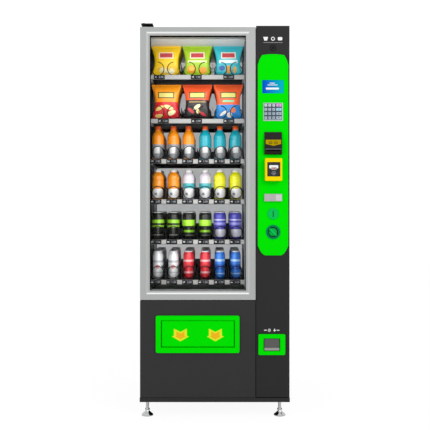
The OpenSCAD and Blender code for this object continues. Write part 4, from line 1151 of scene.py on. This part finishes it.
def crease(mesh, flat, height, seed, limit=24 * MM):
    """Caps how far the film has moved, then folds it towards the seals and crumples it a little."""
    rng = random.Random(seed)
    phase = [rng.uniform(0, 6.28) for repeat in range(4)]
    for vertex, start in zip(mesh.vertices, flat):
        moved = vertex.co - start
        if moved.length > limit:
            moved *= limit / moved.length
        place = start + moved
        from_seal = min(place.z, height - place.z) - SEAL
        if from_seal > 0:
            side = -1 if place.y < 0 else 1
            pull = math.exp(-from_seal / (22 * MM)) * min(1, from_seal / (5 * MM))
            wander = 1.5 * math.sin(place.x * 60 + phase[1])
            fold = math.sin(place.x * 2 * math.pi / (17 * MM) + phase[0] + wander)
            dent = math.sin(place.x * 70 + place.z * 45 + phase[2])
            dent *= math.sin(place.z * 80 - place.x * 30 + phase[3])
            place.y += side * (1.5 * MM * pull * fold + 0.9 * MM * dent)
        vertex.co = place


def bag(name, width, height, seed):
    mesh, seal = flat_bag(name, width, height)
    flat = [vertex.co.copy() for vertex in mesh.vertices]
    mesh = inflate(mesh, seal)
    crease(mesh, flat, height, seed)
    holder = bpy.data.objects.new(name, mesh)
    bpy.context.scene.collection.objects.link(holder)
    smooth = holder.modifiers.new("smooth", "SUBSURF")
    smooth.levels = smooth.render_levels = 1
    result = bpy.data.meshes.new_from_object(holder.evaluated_get(bpy.context.evaluated_depsgraph_get()))
    bpy.data.objects.remove(holder)
    return result


BAG_SETS = {
    5: (164 * MM, 172 * MM, ["yellow_bag", "lime_bag", "cyan_bag"]),
    4: (164 * MM, 195 * MM, ["orange_red_bag", "red_black_bag", "orange_blue_bag"]),
}
BAG_DEPTH = 4


def bags():
    """Pillow bags held by a pair of spirals, one behind the other."""
    first = SPIRAL_FRONT + SPIRAL_PITCH * 0.9
    for tray, (width, height, designs) in BAG_SETS.items():
        for pair, design in enumerate(designs):
            x = (LANE_X[2 * pair] + LANE_X[2 * pair + 1]) / 2
            film = bag(design, width, height, tray * 10 + pair)
            row = Solid()
            for place in range(BAG_DEPTH):
                copy = film.copy()
                lean = Matrix.Rotation(math.radians(-2 + place), 4, "X")
                y = first + SPIRAL_PITCH * place
                copy.transform(Matrix.Translation((x, y, TRAY_FLOORS[tray] + 0.5 * MM)) @ lean)
                row.mesh.from_mesh(copy)
                bpy.data.meshes.remove(copy)
            for face in row.mesh.faces:
                face.smooth = True
            row.piece(f"stock_tray_{tray + 1}_bag_{pair + 1}", "cabinet", [design])


spirals()
price_tags()
key_legends()
display()
validator_details()
reader_screen()
column_marks()
button_inset()
lock_dial()
pickup_arrows()
window_border()
wall_shadow_sheets()
standing_stock()
bags()


# ------------------------------------------------------------------ camera, floor and light
def camera():
    data = bpy.data.cameras.new("camera")
    data.sensor_width = 36
    data.lens = 59.2
    data.shift_x = 0.0006
    data.shift_y = -0.0282
    holder = bpy.data.objects.new("camera", data)
    holder.location = (0, -3.875, 1.056)
    holder.rotation_euler = (math.pi / 2, 0, 0)
    bpy.context.scene.collection.objects.link(holder)
    bpy.context.scene.camera = holder


def floor():
    """A pale floor that stays almost white, with a faint shadow under the feet."""
    bpy.ops.mesh.primitive_plane_add(size=14, location=(0, 1, 0))
    plane = bpy.context.object
    plane.name = "floor"
    surface = Surface("floor_paint", "#e8e8e8", 0.9)
    surface.finish(mottle=0.01, grain=40)
    tree = surface.tree
    glow = tree.nodes.new("ShaderNodeEmission")
    glow.inputs["Strength"].default_value = 1.06
    seen = Formula(tree, tree.nodes.new("ShaderNodeLightPath").outputs["Is Camera Ray"]) * 0.88
    blend = tree.nodes.new("ShaderNodeMixShader")
    surface.feed(blend.inputs[0], seen)
    tree.links.new(surface.shader.outputs[0], blend.inputs[1])
    tree.links.new(glow.outputs[0], blend.inputs[2])
    tree.links.new(blend.outputs[0], tree.nodes["Material Output"].inputs["Surface"])
    plane.data.materials.append(surface.data)


def area_light(name, place, target, size, energy, colour="#ffffff"):
    data = bpy.data.lights.new(name, "AREA")
    data.shape = "RECTANGLE"
    data.size, data.size_y = size
    data.energy = energy
    data.color = rgb(colour)[:3]
    holder = bpy.data.objects.new(name, data)
    holder.location = place
    holder.rotation_euler = (Vector(target) - Vector(place)).to_track_quat("-Z", "Y").to_euler()
    holder.visible_camera = False
    bpy.context.scene.collection.objects.link(holder)


def world():
    """White to the camera, and a soft grey-white surround for light and reflections."""
    scene_world = bpy.data.worlds.new("studio")
    bpy.context.scene.world = scene_world
    scene_world.use_nodes = True
    tree = scene_world.node_tree
    background = tree.nodes["Background"]
    seen = tree.nodes.new("ShaderNodeLightPath").outputs["Is Camera Ray"]
    strength = Formula(tree, seen) * 0.3 + 0.75
    tree.links.new(strength.socket, background.inputs["Strength"])
    background.inputs["Color"].default_value = (1, 1, 1, 1)


def lights():
    low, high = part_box("light_strips")
    area_light("key", (1.9, -3.4, 2.7), (0, 0, 1.1), (1.6, 1.6), 38)
    area_light("fill", (-2.4, -3.0, 1.4), (0, 0, 1.0), (1.5, 2.2), 16)
    centre = (TRAY_X, low.y - 12 * MM, (low.z + high.z) / 2)
    area_light("compartment", centre, (TRAY_X, 0, centre[2]), (0.46, high.z - low.z), 3.2)


bpy.context.scene.view_settings.view_transform = "Standard"
camera()
floor()
world()
lights()
